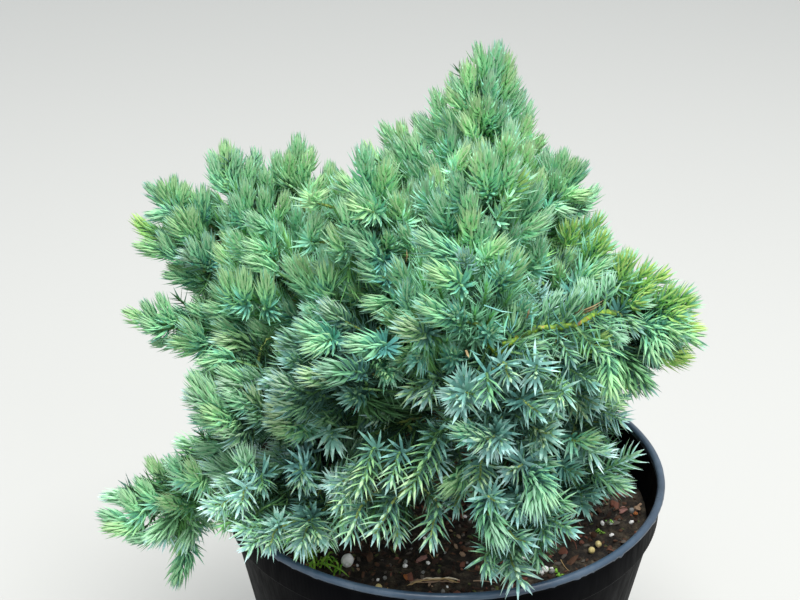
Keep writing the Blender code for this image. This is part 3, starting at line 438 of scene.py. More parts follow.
def tube(builder, points, radii, sides, mat, closed_tip=True):
    t, a, b = frames_along(points)
    ang = np.arange(sides) * math.tau / sides
    ring = a[:, None, :] * np.cos(ang)[None, :, None] + b[:, None, :] * np.sin(ang)[None, :, None]
    v = (points[:, None, :] + ring * np.asarray(radii)[:, None, None]).reshape(-1, 3)
    n = len(points)
    i, j = np.meshgrid(np.arange(n - 1), np.arange(sides), indexing="ij")
    k = (j + 1) % sides
    q = np.stack([i * sides + j, i * sides + k, (i + 1) * sides + k, (i + 1) * sides + j], -1).reshape(-1, 4)
    f = np.vstack([q[:, [0, 1, 2]], q[:, [0, 2, 3]]])
    if closed_tip:
        v = np.vstack([v, points[-1] + t[-1] * radii[-1] * 0.8])
        last = (n - 1) * sides
        f = np.vstack([f, [[last + s, last + (s + 1) % sides, n * sides] for s in range(sides)]])
    builder.add(v, f, mat)


def bezier(p0, p1, p2, n):
    t = np.linspace(0.0, 1.0, n)[:, None]
    return p0 * (1 - t) ** 2 + p1 * (2 * t * (1 - t)) + p2 * t ** 2


# ---------------------------------------------------------------- needles
def wall_outer(z):
    """The pot's outer radius at a height, below its collar."""
    share = (z - 0.004) / (POT_H - LIP_H - COLLAR_H - 0.0015 - 0.004)
    return BASE_R + 0.0015 + (SHOULDER_R - BASE_R - 0.0015) * np.clip(share, 0.0, 1.0)


def pot_outer(z):
    return np.where(z > POT_H - LIP_H, LIP_R, np.where(z > POT_H - LIP_H - COLLAR_H, COLLAR_R, wall_outer(z)))


def clear_of_pot(p, room=0.0006):
    """True for points that are neither in the compost nor in the pot's wall."""
    r = np.hypot(p[..., 0], p[..., 1])
    z = p[..., 2]
    inner = np.where(z > POT_H - LIP_H, LIP_R - 0.0042, pot_outer(z) - WALL) - room
    top = SOIL_EDGE + SOIL_CROWN * (1 - np.minimum(r / 0.078, 1.0) ** 2) + 0.0004
    wall = (z < POT_H + room) & (z > -0.001) & (r > inner) & (r < pot_outer(z) + room)
    soil = (r <= inner + room) & (z < top)
    return ~(wall | soil)


class Needles:
    """The needles of a group as arrays: foot, direction, inner side, length, width, shade set, age and fullness."""

    def __init__(self):
        self.rows = []

    def keep(self, *columns):
        p, d, inner, ln = columns[:4]
        ok = clear_of_pot(p + d * ln[:, None]) & clear_of_pot(p + d * (ln * 0.5)[:, None])
        self.rows.append(tuple(c[ok] for c in columns))

    def shoot(self, path, shade, habit, size=1.0, needled=None, full=True, gap=0.0, sparse=1.0):
        open_deg, tip_deg, length, spacing, _, run_needled, width, curve, stray = habit
        spacing = spacing * sparse
        t, a, b = frames_along(path)
        seg = np.linalg.norm(np.diff(path, axis=0), axis=1)
        s = np.concatenate([[0.0], np.cumsum(seg)])
        total = s[-1]
        first = max(0.0, total - (needled or run_needled)) + (0.0 if total > run_needled else total * 0.10)
        count = max(2, int((total - first) / spacing))
        u1 = (np.arange(count) + 0.5) / count
        u, which = np.repeat(u1, 3), np.repeat(np.arange(count), 3)
        n = len(u)
        at_s = np.clip(first + u * (total - first) + RNG.normal(0, spacing * 0.20, n), 0.0, total)
        phi = RNG.uniform(0, math.tau) + which * (math.pi / 3 + stray * 0.6) + np.tile(np.arange(3) * (math.tau / 3), count) + RNG.normal(0, stray * 0.8, n)

        def at(arr):
            return np.stack([np.interp(at_s, s, arr[:, k]) for k in range(3)], 1)

        p, tt, aa, bb = at(path), rows_unit(at(t)), rows_unit(at(a)), rows_unit(at(b))
        below = total - at_s                                      # how far under the shoot's tip a needle stands
        alpha = np.interp(below, (0.0, 0.0015, 0.0040, 0.0075), (tip_deg, tip_deg + 0.45 * (open_deg - tip_deg), tip_deg + 0.80 * (open_deg - tip_deg), open_deg))
        alpha = np.radians(np.maximum(alpha + RNG.normal(0, 4.0, n), 3.0))
        side = aa * np.cos(phi)[:, None] + bb * np.sin(phi)[:, None]
        d = tt * np.cos(alpha)[:, None] + side * np.sin(alpha)[:, None]
        ln = length * size * np.interp(below, (0.0, 0.0012, 0.0030, 0.0060, 0.0150), (0.56, 0.76, 0.92, 1.0, 0.92)) * RNG.uniform(0.86, 1.08, n)
        inner = rows_unit(tt - d * np.sum(tt * d, 1)[:, None])
        w = width * size * RNG.uniform(0.90, 1.12, n)
        young = (below + RNG.normal(0, 0.0014, n)) < 0.0070
        sel = RNG.random(n) >= gap
        self.keep(*[c[sel] for c in (p, d, inner, ln, w, np.full(n, shade), young.astype(int), np.full(n, bool(full)), np.full(n, curve))])

    def single(self, p, d, inner, ln, w, shade, full=False, curve=0.12):
        self.keep(*[np.array([x]) for x in (p, d, inner, ln, w, shade, 0, full, curve)])

    def gather(self):
        return [np.concatenate([r[k] for r in self.rows]) for k in range(9)]

    def count_tris(self):
        return sum(int(r[7].sum()) * 7 + int((~r[7].astype(bool)).sum()) * 3 for r in self.rows)


def build_needles(builder, data):
    p, d, inner, ln, w, shade, young, full, curve = data
    side = np.cross(d, inner)
    L, W = ln[:, None], w[:, None]
    bend = inner * (ln * curve)[:, None]                 # the needle curves towards its shoot's tip
    f = full.astype(bool)
    if f.any():
        P, D, I, S, l, ww, B = p[f], d[f], inner[f], side[f], L[f], W[f], bend[f]
        sh, yo = shade[f].astype(int), young[f].astype(int)
        n = len(P)
        b1, b2 = P - S * ww * 0.42, P + S * ww * 0.42
        m1, m2 = P + D * l * 0.60 - S * ww * 0.49 + B * 0.30, P + D * l * 0.60 + S * ww * 0.49 + B * 0.30
        tip = P + D * l + B
        keel = P + D * l * 0.46 - I * ww * 0.34 - B * 0.06
        v = np.stack([b1, b2, m1, m2, tip, keel], 1).reshape(-1, 3)
        base = (np.arange(n) * 6)[:, None]
        top = np.array([[0, 1, 3], [0, 3, 2], [2, 3, 4]])
        low = np.array([[1, 5, 3], [2, 5, 0], [3, 5, 4], [4, 5, 2]])
        faces = (np.vstack([top, low])[None] + base[:, :, None]).reshape(-1, 3)
        role = np.array([0, 0, 1, 3, 3, 4, 4])
        mats = (sh[:, None] * 6 + role[None] + yo[:, None]).reshape(-1)
        builder.add(v, faces, mats)
    if (~f).any():
        f = ~f
        P, D, I, S, l, ww, B = p[f], d[f], inner[f], side[f], L[f], W[f], bend[f]
        sh, yo = shade[f].astype(int), young[f].astype(int)
        n = len(P)
        m1, m2 = P + D * l * 0.10 - S * ww * 0.5, P + D * l * 0.10 + S * ww * 0.5
        keel = P - I * ww * 0.4
        tip = P + D * l + B
        v = np.stack([m1, m2, tip, keel], 1).reshape(-1, 3)
        base = (np.arange(n) * 4)[:, None]
        faces = (np.array([[0, 1, 2], [0, 2, 3], [1, 3, 2]])[None] + base[:, :, None]).reshape(-1, 3)
        mats = (sh[:, None] * 6 + np.array([0, 3, 3])[None] + yo[:, None]).reshape(-1)
        builder.add(v, faces, mats)


# ---------------------------------------------------------------- wood
wood_lines = []            # (points, radii, relief): stem, boughs and the masses' own twigs
stem_mid, stem_rad = stem_rings()
limb = {}
for name in NODES:
    if name.startswith("bough_"):
        mids, radii = tube_rings(name, 8)
        limb[name] = (mids, radii)

TWIGS = Builder()
MAT_TWIG = [
    plain("twig_brown", (0.150, 0.085, 0.045), 0.75, 0.25),
    plain("twig_olive", (0.190, 0.200, 0.060), 0.60, 0.35),
    plain("twig_green", (0.110, 0.240, 0.080), 0.55, 0.35),
    plain("twig_yellow", (0.200, 0.270, 0.065), 0.55, 0.35),
]

mass_data = {}
all_v, all_t, owner = [], [], []
offset = 0
for name in sorted(GROWTH):
    v, t = node_mesh(name)
    mass_data[name] = (v, t)
    all_v.append(v)
    all_t.append(t + offset)
    owner += [name] * len(t)
    offset += len(v)
ALL_V, ALL_T = np.vstack(all_v), np.vstack(all_t)
CROWN = BVHTree.FromPolygons([Vector(v) for v in ALL_V], [tuple(int(i) for i in t) for t in ALL_T])


def closest_on(line, point):
    """Nearest point on a run of points: its index along it."""
    k = int(np.argmin(np.linalg.norm(line - point, axis=1)))
    return k


twig_line = {}


def mass_axis(name):
    """The mass's own twig: from the limb that it grows on, through the mass, towards its tip."""
    if name in twig_line:
        return twig_line[name]
    heading, pitch, parent, *_ = GROWTH[name]
    v, _ = mass_data[name]
    axis = way(heading, pitch)
    centre = v.mean(0)
    reach = ((v - centre) @ axis).max()
    tip = centre + axis * (reach - 0.009)
    if parent.startswith("mass_"):
        line, _ = mass_axis(parent)
        start = line[int(len(line) * 0.55)]
        r0 = 0.0011
        own = False
    else:
        line, rad = limb[parent]
        fine, _ = resample(line, rad, 0.002)
        root = centre - axis * ((centre - v) @ axis).max() * 0.8
        own = np.linalg.norm(fine[-1] - root) < 0.012
        if own:
            start, r0 = fine[-1], rad[-1]
        else:
            usable = fine[int(len(fine) * 0.45):]
            start = usable[int(np.argmin(np.linalg.norm(usable - root, axis=1)))]
            r0 = 0.00125
    lead = unit(centre - start)
    mid = centre - axis * min(0.5 * np.linalg.norm(centre - start), 0.012) + lead * 0.0
    pts = bezier(start, mid, tip, 22)
    wobble = RNG.normal(0, 0.0005, (22, 3)) * np.linspace(0, 1, 22)[:, None]
    pts = pts + wobble
    rad = np.linspace(r0, 0.00055, 22)
    twig_line[name] = (pts, rad)
    wood_lines.append((pts[:16], np.linspace(r0, 0.0008, 16), 0.10))
    return twig_line[name]


for name in sorted(GROWTH):
    mass_axis(name)

# ---------------------------------------------------------------- where the shoots end
def sphere_points(n):
    k = np.arange(n) + 0.5
    z = 1 - 2 * k / n
    a = k * 2.39996323
    r = np.sqrt(1 - z * z)
    return [Vector((float(r[i] * math.cos(a[i])), float(r[i] * math.sin(a[i])), float(z[i]))) for i in range(n)]


SKY = sphere_points(34)


def look_out(q, m):
    """How open the air is above a point of a mass's outside, and the middle of the open directions."""
    total = free = 0.0
    mean = Vector()
    start = q + m * 0.0009
    for dv in SKY:
        c = dv.dot(m)
        if c <= 0.10:
            continue
        total += c
        if dv.z < -0.15:
            e = start + dv * 0.03
            if e.z < 0.119 and math.hypot(e.x, e.y) < 0.085:
                continue
        if CROWN.ray_cast(start, dv, 0.045)[0] is None:
            free += c
            mean += dv * c
    if mean.length < 1e-6:
        mean = m.copy()
    return free / total, np.array(mean.normalized())


CELL = 0.0043
pts_l, nrm_l, own_l = [], [], []
for name in sorted(GROWTH):
    v, t = mass_data[name]
    a, b, c = v[t[:, 0]], v[t[:, 1]], v[t[:, 2]]
    n = np.cross(b - a, c - a)
    size2 = np.linalg.norm(n, axis=1) / 2
    n = rows_unit(n)
    centre = v.mean(0)
    n[np.sum(n * ((a + b + c) / 3 - centre), 1) < 0] *= -1
    want = int(size2.sum() / CELL ** 2)
    pick = RNG.choice(len(t), want, p=size2 / size2.sum())
    r = RNG.random((want, 2))
    over = r.sum(1) > 1
    r[over] = 1 - r[over]
    pts = a[pick] + (b[pick] - a[pick]) * r[:, :1] + (c[pick] - a[pick]) * r[:, 1:]
    pts_l.append(pts)
    nrm_l.append(rows_unit(0.45 * n[pick] + 0.55 * rows_unit(pts - centre)))
    own_l += [name] * want
S_PTS, S_NRM, S_OWN = np.vstack(pts_l), np.vstack(nrm_l), np.array(own_l)
S_OPEN, S_OUT = np.zeros(len(S_PTS)), np.zeros_like(S_PTS)
for i in range(len(S_PTS)):
    S_OPEN[i], S_OUT[i] = look_out(Vector(S_PTS[i]), Vector(S_NRM[i]))


def thin(indices, spacing_of):
    """Keeps points at least their spacing apart, in the order given."""
    kept, grid, cell = [], {}, 0.020
    for i in indices:
        p = S_PTS[i]
        sp = spacing_of(i)
        kx, ky, kz = (int(c) for c in p // cell)
        ok = True
        for dx in (-1, 0, 1):
            for dy in (-1, 0, 1):
                for dz in (-1, 0, 1):
                    box = grid.get((kx + dx, ky + dy, kz + dz))
                    if box and ok:
                        q = np.array(box)
                        if (((q - p) ** 2).sum(1) < sp * sp).any():
                            ok = False
        if ok:
            kept.append(i)
            grid.setdefault((kx, ky, kz), []).append(p)
    return kept


# what the eye sees of the outside, and how far each such point is from the listed sprays and openings
S_PIX = in_picture(S_PTS)
S_SEEN = np.zeros(len(S_PTS), bool)
for i in range(len(S_PTS)):
    ray = S_PTS[i] - EYE
    far = np.linalg.norm(ray)
    hit = CROWN.ray_cast(Vector(EYE), Vector(ray / far))
    S_SEEN[i] = hit[0] is None or hit[3] > far - 0.006
A = np.array([(x[0], x[1]) for x in SPRAYS], float)
B = np.array([(x[2], x[3]) for x in SPRAYS], float)
AB = B - A
S_BY_SPRAY = np.full(len(S_PTS), 99.0)
S_BY_TIP = np.full(len(S_PTS), 99.0)
S_IN_GAP = np.zeros(len(S_PTS), bool)
for i in np.nonzero(S_SEEN)[0]:
    q = S_PIX[i] - A
    t = np.clip(np.sum(q * AB, 1) / np.sum(AB * AB, 1), 0, 1)
    S_BY_SPRAY[i] = np.linalg.norm(q - AB * t[:, None], axis=1).min()
    S_BY_TIP[i] = np.linalg.norm(q, axis=1).min()
    S_IN_GAP[i] = any((S_PIX[i][0] - u) ** 2 + (S_PIX[i][1] - v) ** 2 < r * r for u, v, r in OPENINGS)

low_edge = np.interp(S_PIX[:, 0], (98, 112, 130, 150, 190, 212, 235, 260), (503, 508, 520, 533, 537, 533, 540, 560))
low_left = np.array([str(n).startswith("mass_low_left") for n in S_OWN])
beside_tuft = low_left & (S_PIX[:, 0] < 250) & (S_PIX[:, 1] > low_edge) & ~((S_OWN == "mass_low_left_droop") & (np.abs(S_PIX[:, 0] - 179 - (560 - S_PIX[:, 1]) * 0.12) < 8))
order = [i for i in RNG.permutation(len(S_PTS)) if not S_IN_GAP[i] and not beside_tuft[i]]
outer = thin([i for i in order if S_OPEN[i] >= 0.08 and S_BY_SPRAY[i] > (19.0 if S_OWN[i] in ("mass_right_shoulder", "mass_right_outer") or in_shaded_zone(S_PTS[i]) else 12.0) and S_BY_TIP[i] > 16.5], lambda i: HABITS[GROWTH[S_OWN[i]][5]][4] * (1.0 if S_OPEN[i] > 0.3 else 1.12))
inner = thin([i for i in order if S_OPEN[i] < 0.08], lambda i: INNER_SPACING)
coarse = thin([i for i in order if S_OPEN[i] >= 0.03], lambda i: 0.0165)
taken = KDTree(len(outer))
for k, i in enumerate(outer):
    taken.insert(Vector(S_PTS[i]), k)
taken.balance()
under = thin([i for i in order if S_OPEN[i] >= 0.08 and S_BY_TIP[i] > 4.0 and taken.find(Vector(S_PTS[i]))[2] > 0.0042], lambda i: 0.0082)

# ---------------------------------------------------------------- sprays
UP = np.array([0.0, 0.0, 1.0])
shoot_count = 0


def green_tube(path, r0, r1, sides, mat):
    tube(TWIGS, path, np.linspace(r0, r1, len(path)), sides, mat)


def growing_way(name, out, openness=0.5, spread=0.12):
    heading, pitch, _, pull, _, habit = GROWTH[name]
    axis = way(heading, pitch)
    by_axis = {"finger": 0.58, "brush": 0.52, "fan": 0.52, "star": 0.28, "fish": 0.50}[habit]
    hemmed = max(0.0, 0.5 - openness) * 1.8          # a shoot in a narrow gap turns to the light
    return unit(out * (0.60 + hemmed) + axis * by_axis * (1 - 0.7 * hemmed) + UP * pull + RNG.normal(0, spread, 3))


by_name = {n: ([], [], [], []) for n in GROWTH}
for k, group in enumerate((outer, inner, coarse, under)):
    for i in group:
        by_name[S_OWN[i]][k].append(i)

# the places on a mass's own wood that a shoot can leave from: point and direction
attach = {}
for name in sorted(GROWTH):
    line, _ = twig_line[name]
    t, _, _ = frames_along(line)
    P, T = [line[2:18]], [t[2:18]]
    for i in by_name[name][2]:
        d = growing_way(name, S_OUT[i], S_OPEN[i])
        end = S_PTS[i] - S_NRM[i] * 0.0085 - d * 0.0030
        dist = np.linalg.norm(line - end, axis=1)
        k = int(np.argmin(dist))
        foot = line[int(max(2, k - round(dist[k] / 0.0024)))]
        length = np.linalg.norm(end - foot)
        if length < 0.007:
            continue
        path = bezier(foot, end - d * length * 0.5, end, 8)
        tb, _, _ = frames_along(path)
        P.append(path[1:])
        T.append(tb[1:])
        green_tube(path, 0.00062, 0.00045, 4, 2 if RNG.random() < 0.6 else 1)
    attach[name] = (np.vstack(P), np.vstack(T))


# a knobby young twig that lies open across the front of the crown, with its own shoots to both sides of it
OPEN_PATH = [(16.5, -67.0, 214.5), (20.5, -70.0, 218.5), (25.0, -65.5, 219.0), (30.0, -61.0, 219.5), (35.0, -60.5, 219.8), (40.0, -61.0, 220.8), (44.5, -59.5, 221.3), (48.5, -55.0, 221.5), (53.0, -47.0, 219.0), (57.5, -41.0, 216.0)]
line, _ = twig_line["mass_centre_breast"]
first = np.array(OPEN_PATH[0]) / 1000
start = line[3 + int(np.argmin(np.linalg.norm(line[3:19] - first, axis=1)))]
OPEN_TWIG, _ = resample(np.vstack([start, np.array(OPEN_PATH) / 1000]), np.ones(len(OPEN_PATH) + 1), 0.0008)
OPEN_TREE = KDTree(len(OPEN_TWIG))
for k, q in enumerate(OPEN_TWIG):
    OPEN_TREE.insert(Vector(q), k)
OPEN_TREE.balance()
open_group = Needles()


def beside_open_twig(p):
    near, k, dist = OPEN_TREE.find(Vector(p))
    return dist < 0.0056 and len(OPEN_TWIG) * 0.10 < k < len(OPEN_TWIG) * 0.92


def grow_open_twig():
    t, _, _ = frames_along(OPEN_TWIG)
    out = unit(np.array([0.10, -0.80, 0.52]))
    n = len(OPEN_TWIG)
    k, side = int(n * 0.16), 1.0
    while k < n - 6:
        across = unit(np.cross(out, t[k])) * side                 # upwards for the upper side, downwards for the lower
        d = unit(t[k] * 0.55 + across * 0.85 + out * 0.12 + RNG.normal(0, 0.06, 3))
        ln = RNG.uniform(0.0095, 0.0130)
        path = bezier(OPEN_TWIG[k], OPEN_TWIG[k] + d * ln * 0.5 + out * 0.0008, OPEN_TWIG[k] + d * ln + np.array([0, 0, -0.001]), 6)
        ids = SHADE_IDS["blue"]
        open_group.shoot(path, ids[int(RNG.integers(len(ids)))], HABITS["brush" if side > 0 else "star"], 0.92, needled=0.0095)
        green_tube(path, 0.00060, 0.00036, 4, 2)
        k += int(RNG.integers(4, 6))
        side = -side
    for k in range(int(n * 0.10), n - 4, 2):                      # a few long lone needles on the twig itself
        turn = RNG.uniform(0, math.tau)
        a, b = unit(np.cross(t[k], out)), out
        for m in range(3):
            if RNG.random() < 0.22:
                continue
            ang = turn + m * math.tau / 3
            side_way = a * math.cos(ang) + b * math.sin(ang)
            d = unit(t[k] * RNG.uniform(0.15, 0.5) + side_way)
            if d @ out > 0.90:
                continue
            tone = SHADE_IDS["silver" if RNG.random() < 0.35 else "blue"][0]
            open_group.single(OPEN_TWIG[k], d, unit(t[k] - d * np.dot(t[k], d)), 0.0092 * RNG.uniform(0.8, 1.1), 0.00068, tone, full=True, curve=RNG.uniform(0.05, 0.20))


# painted shade: the darker set for a shoot by where it stands, darkest in the shaded zones
def painted_shade_id(name, p):
    if in_shaded_zone(p):
        return PAINTED_SHADE_IDS[2]
    return PAINTED_SHADE_IDS[0 if GROWTH[name][4] in ("mint", "green", "pale") or name.startswith("mass_low_left") else 1]


SWAP = {"yellow": 0.40}                    # how often a spray takes a neighbouring family, else 0.07
KIN = {"mint": ("green",), "pale": ("mint",), "green": ("mint", "yellow", "blue"), "yellow": ("green",), "blue": ("silver", "green"), "silver": ("blue",), "frost": ("silver",)}


def shoot(group, name, i, full, sunk=0.0):
    global shoot_count
    family, habit_name = GROWTH[name][4], GROWTH[name][5]
    habit = HABITS[habit_name]
    openness = S_OPEN[i]
    if family in ("blue", "silver", "frost") and S_OUT[i][2] > 0.60 and RNG.random() < 0.7:
        family = "mint"                                          # the side that faces the sky takes the greener, lighter mint shades, partly its own colour and partly painted light
    d = growing_way(name, S_OUT[i], openness)
    push = RNG.uniform(-0.0020, 0.0042) + (0.0020 if openness < 0.35 else 0.0) - sunk
    size = RNG.uniform(0.90, 1.08)
    tip = S_PTS[i] + S_OUT[i] * (push if full or sunk else -0.0010)
    if beside_open_twig(tip) or beside_open_twig(S_PTS[i]):
        return
    end = tip - d * habit[2] * size * 0.58
    if not clear_of_pot(end, 0.001):
        return
    P, T = attach[name]
    L = RNG.uniform(0.014, 0.021)
    foot_wanted = end - d * L
    away = np.linalg.norm(P - end, axis=1)
    cost = np.linalg.norm(P - foot_wanted, axis=1) - 0.005 * (T @ d) + np.where(away < 0.008, 0.02, 0.0)
    k = int(np.argmin(cost))
    foot = P[k]
    length = np.linalg.norm(end - foot)
    if length < 0.006:
        foot = end - d * 0.008
        length = 0.008
    path = bezier(foot, end - d * length * 0.55, end, 7)
    ids = SHADE_IDS[family]
    if full:
        shade = ids[int(RNG.integers(len(ids)))]
        # a shoot in a narrow gap takes a darker set, as painted shade
        if openness < 0.18:
            shade = PAINTED_SHADE_IDS[0 if family in ("mint", "green", "pale") else 1]
        elif RNG.random() < SWAP.get(family, 0.07):
            near = KIN[family]
            other = SHADE_IDS[near[int(RNG.integers(len(near)))]]
            shade = other[int(RNG.integers(len(other)))]
        group.shoot(path, shade, habit, size, sparse=0.88)
        run = np.linalg.norm(np.diff(path, axis=0), axis=1).sum()
        if run > habit[5] + 0.004:
            lower = path[:max(3, int(len(path) * (1 - habit[5] / run)) + 2)]
            # the older, lower part of the shoot: old-needle colours darkened as painted shade
            group.shoot(lower, INNER_OLD_AND_SHADED_IDS[int(RNG.integers(len(INNER_OLD_AND_SHADED_IDS)))], HABITS["star"], size * 0.9, needled=0.03, full=False, gap=0.35, sparse=1.5)
    elif sunk:
        if in_shaded_zone(S_PTS[i]) and RNG.random() < 0.6:
            return
        group.shoot(path, painted_shade_id(name, S_PTS[i]), HABITS["brush" if habit_name in ("finger", "fish") else habit_name], size, full=False, sparse=1.2)
    else:
        # inside the crown: old-needle colours darkened as painted shade
        group.shoot(path, INNER_OLD_AND_SHADED_IDS[int(RNG.integers(len(INNER_OLD_AND_SHADED_IDS)))], HABITS["star"], size * 0.95, full=False, gap=0.10, sparse=1.25)
    green_tube(path if full else path[::2], 0.00052, 0.00034, 3, 2 if RNG.random() < 0.8 else 3)
    shoot_count += 1


def crown_at(u, v):
    hit = CROWN.ray_cast(Vector(EYE), Vector(sight(u, v)))
    return None if hit[0] is None else (hit[3], owner[hit[2]])


spray_groups = {n: [] for n in GROWTH}


def grow_spray(tu, tv, bu, bv, kind, near=5.0, size=1.0):
    """One listed spray: its tip and foot lie where the eye sees them, at the depth of the mass that is there."""
    global shoot_count
    habit, family = HABITS[LETTERS[kind[0]]], FAMILIES[kind[1]]
    at = None
    for share in (0.0, 0.2, 0.4, 0.6, 0.8, 1.0):
        at = crown_at(tu + (bu - tu) * share, tv + (bv - tv) * share)
        if at:
            break
    if not at:
        return False
    depth, name = at
    mid = crown_at((tu + bu) / 2, (tv + bv) / 2)
    if mid and mid[0] + 0.004 < depth:
        depth, name = mid[0] + 0.004, mid[1]
    depth -= 0.0020
    tip, foot = EYE + sight(tu, tv) * depth, EYE + sight(bu, bv) * (depth + near / 1000)
    d = unit(tip - foot)
    apex = tip - d * 0.0038 * size
    if not clear_of_pot(apex, 0.001) or not clear_of_pot(foot, 0.001):
        return False
    P, T = attach[name]
    wanted = foot - d * 0.008 + sight(bu, bv) * 0.004
    cost = np.linalg.norm(P - wanted, axis=1) - 0.003 * (T @ d)
    start = P[int(np.argmin(cost))]
    marks = [foot, foot * 0.5 + apex * 0.5 - UP * 0.0003, apex]
    if np.linalg.norm(start - foot) > 0.003:
        marks.insert(0, start)
    path, _ = resample(np.array(marks), np.ones(len(marks)), 0.0017)
    ids = SHADE_IDS[family]
    shade = ids[int(RNG.integers(len(ids)))]
    reach = np.linalg.norm(apex - foot) + 0.0045
    g = Needles()
    g.shoot(path, shade, habit, size * RNG.uniform(0.97, 1.03), needled=reach, sparse=0.80 if kind[0] in "FB" else 0.92)
    run = np.linalg.norm(np.diff(path, axis=0), axis=1).sum()
    if run > reach + 0.003:
        lower = path[:max(3, int(len(path) * (1 - reach / run)) + 2)]
        g.shoot(lower, painted_shade_id(name, foot), HABITS["star"], 0.95, needled=0.03, full=False, gap=0.30, sparse=1.5)
    spray_groups[name].append(g)
    green_tube(path, 0.00060, 0.00036, 4, 3 if RNG.random() < 0.4 else 2)
    shoot_count += 1
    return True


# single needles that stand out: foot and tip as the eye sees them, millimetres the tip is nearer, shade
LONE = [
    (478, 304, 465, 320, 3, "silver"), (484, 305, 513, 318, 3, "silver"), (486, 330, 467, 342, 4, "silver"), (519, 322, 524, 347, 2, "silver"), (543, 328, 542, 347, 2, "silver"),
    (549, 335, 571, 347, 3, "silver"), (571, 331, 585, 358, 3, "silver"), (587, 328, 580, 360, 3, "silver"), (593, 328, 598, 354, 2, "blue"), (497, 331, 518, 333, 2, "silver"),
    (495, 321, 505, 331, 3, "blue"), (542, 307, 528, 322, 4, "silver"), (535, 299, 522, 288, 3, "silver"), (538, 299, 545, 289, 3, "silver"), (604, 283, 609, 301, 3, "silver"),
    (470, 350, 481, 358, 3, "silver"), (462, 318, 474, 327, 3, "silver"), (526, 318, 505, 306, 4, "silver"), (560, 322, 548, 308, 5, "blue"), (574, 318, 590, 308, 5, "blue"),
    (534, 322, 546, 312, 5, "silver"), (512, 331, 498, 318, 5, "blue"), (556, 326, 561, 343, 4, "blue"), (506, 338, 495, 356, 4, "silver"), (528, 328, 514, 341, 4, "blue"),
    (600, 320, 622, 316, 4, "blue"), (596, 314, 611, 303, 4, "silver"),
    (508, 316, 500, 338, 5, "green"), (518, 312, 514, 335, 5, "blue"), (530, 309, 536, 333, 5, "green"), (545, 308, 540, 330, 5, "blue"), (552, 307, 560, 331, 5, "green"), (566, 305, 563, 328, 5, "blue"),
    (575, 304, 582, 326, 5, "green"), (587, 301, 592, 322, 5, "blue"), (515, 338, 505, 318, 5, "green"), (551, 332, 544, 313, 5, "blue"), (578, 327, 571, 307, 5, "green"), (497, 345, 484, 330, 5, "green"),
    (606, 322, 586, 322, 5, "green"), (566, 330, 553, 317, 5, "blue"), (528, 334, 519, 315, 5, "silver"),
]


def grow_lone(bu, bv, tu, tv, near, family):
    pix = in_picture(OPEN_TWIG)
    gap = np.hypot(pix[:, 0] - bu, pix[:, 1] - bv)
    k = int(np.argmin(gap))
    if gap[k] < 16:
        depth = (OPEN_TWIG[k] - EYE) @ sight(bu, bv) - 0.0008
        foot = EYE + sight(bu, bv) * depth if gap[k] < 5 else OPEN_TWIG[k] - sight(bu, bv) * 0.0009
    else:
        at = crown_at(bu, bv)
        if not at:
            return
        depth = at[0] - 0.0015
        foot = EYE + sight(bu, bv) * depth
    tip = EYE + sight(tu, tv) * (depth - near / 1000)
    d = unit(tip - foot)
    inner = unit(-sight(tu, tv) * 0.75 + np.cross(sight(tu, tv), d) * float(RNG.choice((-0.9, 0.9))))
    inner = unit(inner - d * float(inner @ d))
    ids = SHADE_IDS[family]
    open_group.single(foot, d, inner, float(np.linalg.norm(tip - foot)), 0.00066, ids[int(RNG.integers(len(ids)))], full=True, curve=0.20)


grow_open_twig()
for x in LONE:
    grow_lone(*x)
missing = [x for x in SPRAYS if not grow_spray(*x)]
order_names = sorted(GROWTH)
needle_sets = {}
for name in order_names:
    g = Needles()
    for other in spray_groups[name]:
        g.rows += other.rows
    for i in by_name[name][0]:
        shoot(g, name, i, True)
    for i in by_name[name][3]:
        shoot(g, name, i, False, 0.0055)
    for i in by_name[name][1]:
        shoot(g, name, i, False)
    needle_sets[name] = g

# dull shoots straight on the boughs, inside the crown
bough_sets = Needles()
for name in sorted(limb):
    line, rad = resample(*limb[name], 0.0015)
    t, a, b = frames_along(line)
    k, turn = int(len(line) * 0.30), RNG.uniform(0, math.tau)
    while k < len(line) - 1:
        side = a[k] * math.cos(turn) + b[k] * math.sin(turn)
        d = unit(t[k] * 0.75 + side + UP * 0.15 + RNG.normal(0, 0.1, 3))
        ln = RNG.uniform(0.011, 0.018)
        end = line[k] + d * ln
        if clear_of_pot(end + d * 0.006, 0.001):
            path = bezier(line[k], line[k] + unit(side + t[k] * 0.4) * ln * 0.5, end, 6)
            # open shoots take the painted-shade set, hemmed-in ones the still darker inner set, also painted shade
            if look_out(Vector(end), Vector(side))[0] > 0.14:
                bough_sets.shoot(path, PAINTED_SHADE_IDS[int(RNG.integers(2))], HABITS["brush"], 1.0, sparse=1.25)
            else:
                bough_sets.shoot(path, INNER_OLD_AND_SHADED_IDS[int(RNG.integers(len(INNER_OLD_AND_SHADED_IDS)))], HABITS["star"], 0.95, full=False, gap=0.15, sparse=1.3)
            green_tube(path, 0.00060, 0.00036, 3, 0)
            shoot_count += 1
        turn += 2.39996
        k += int(RNG.integers(3, 6))

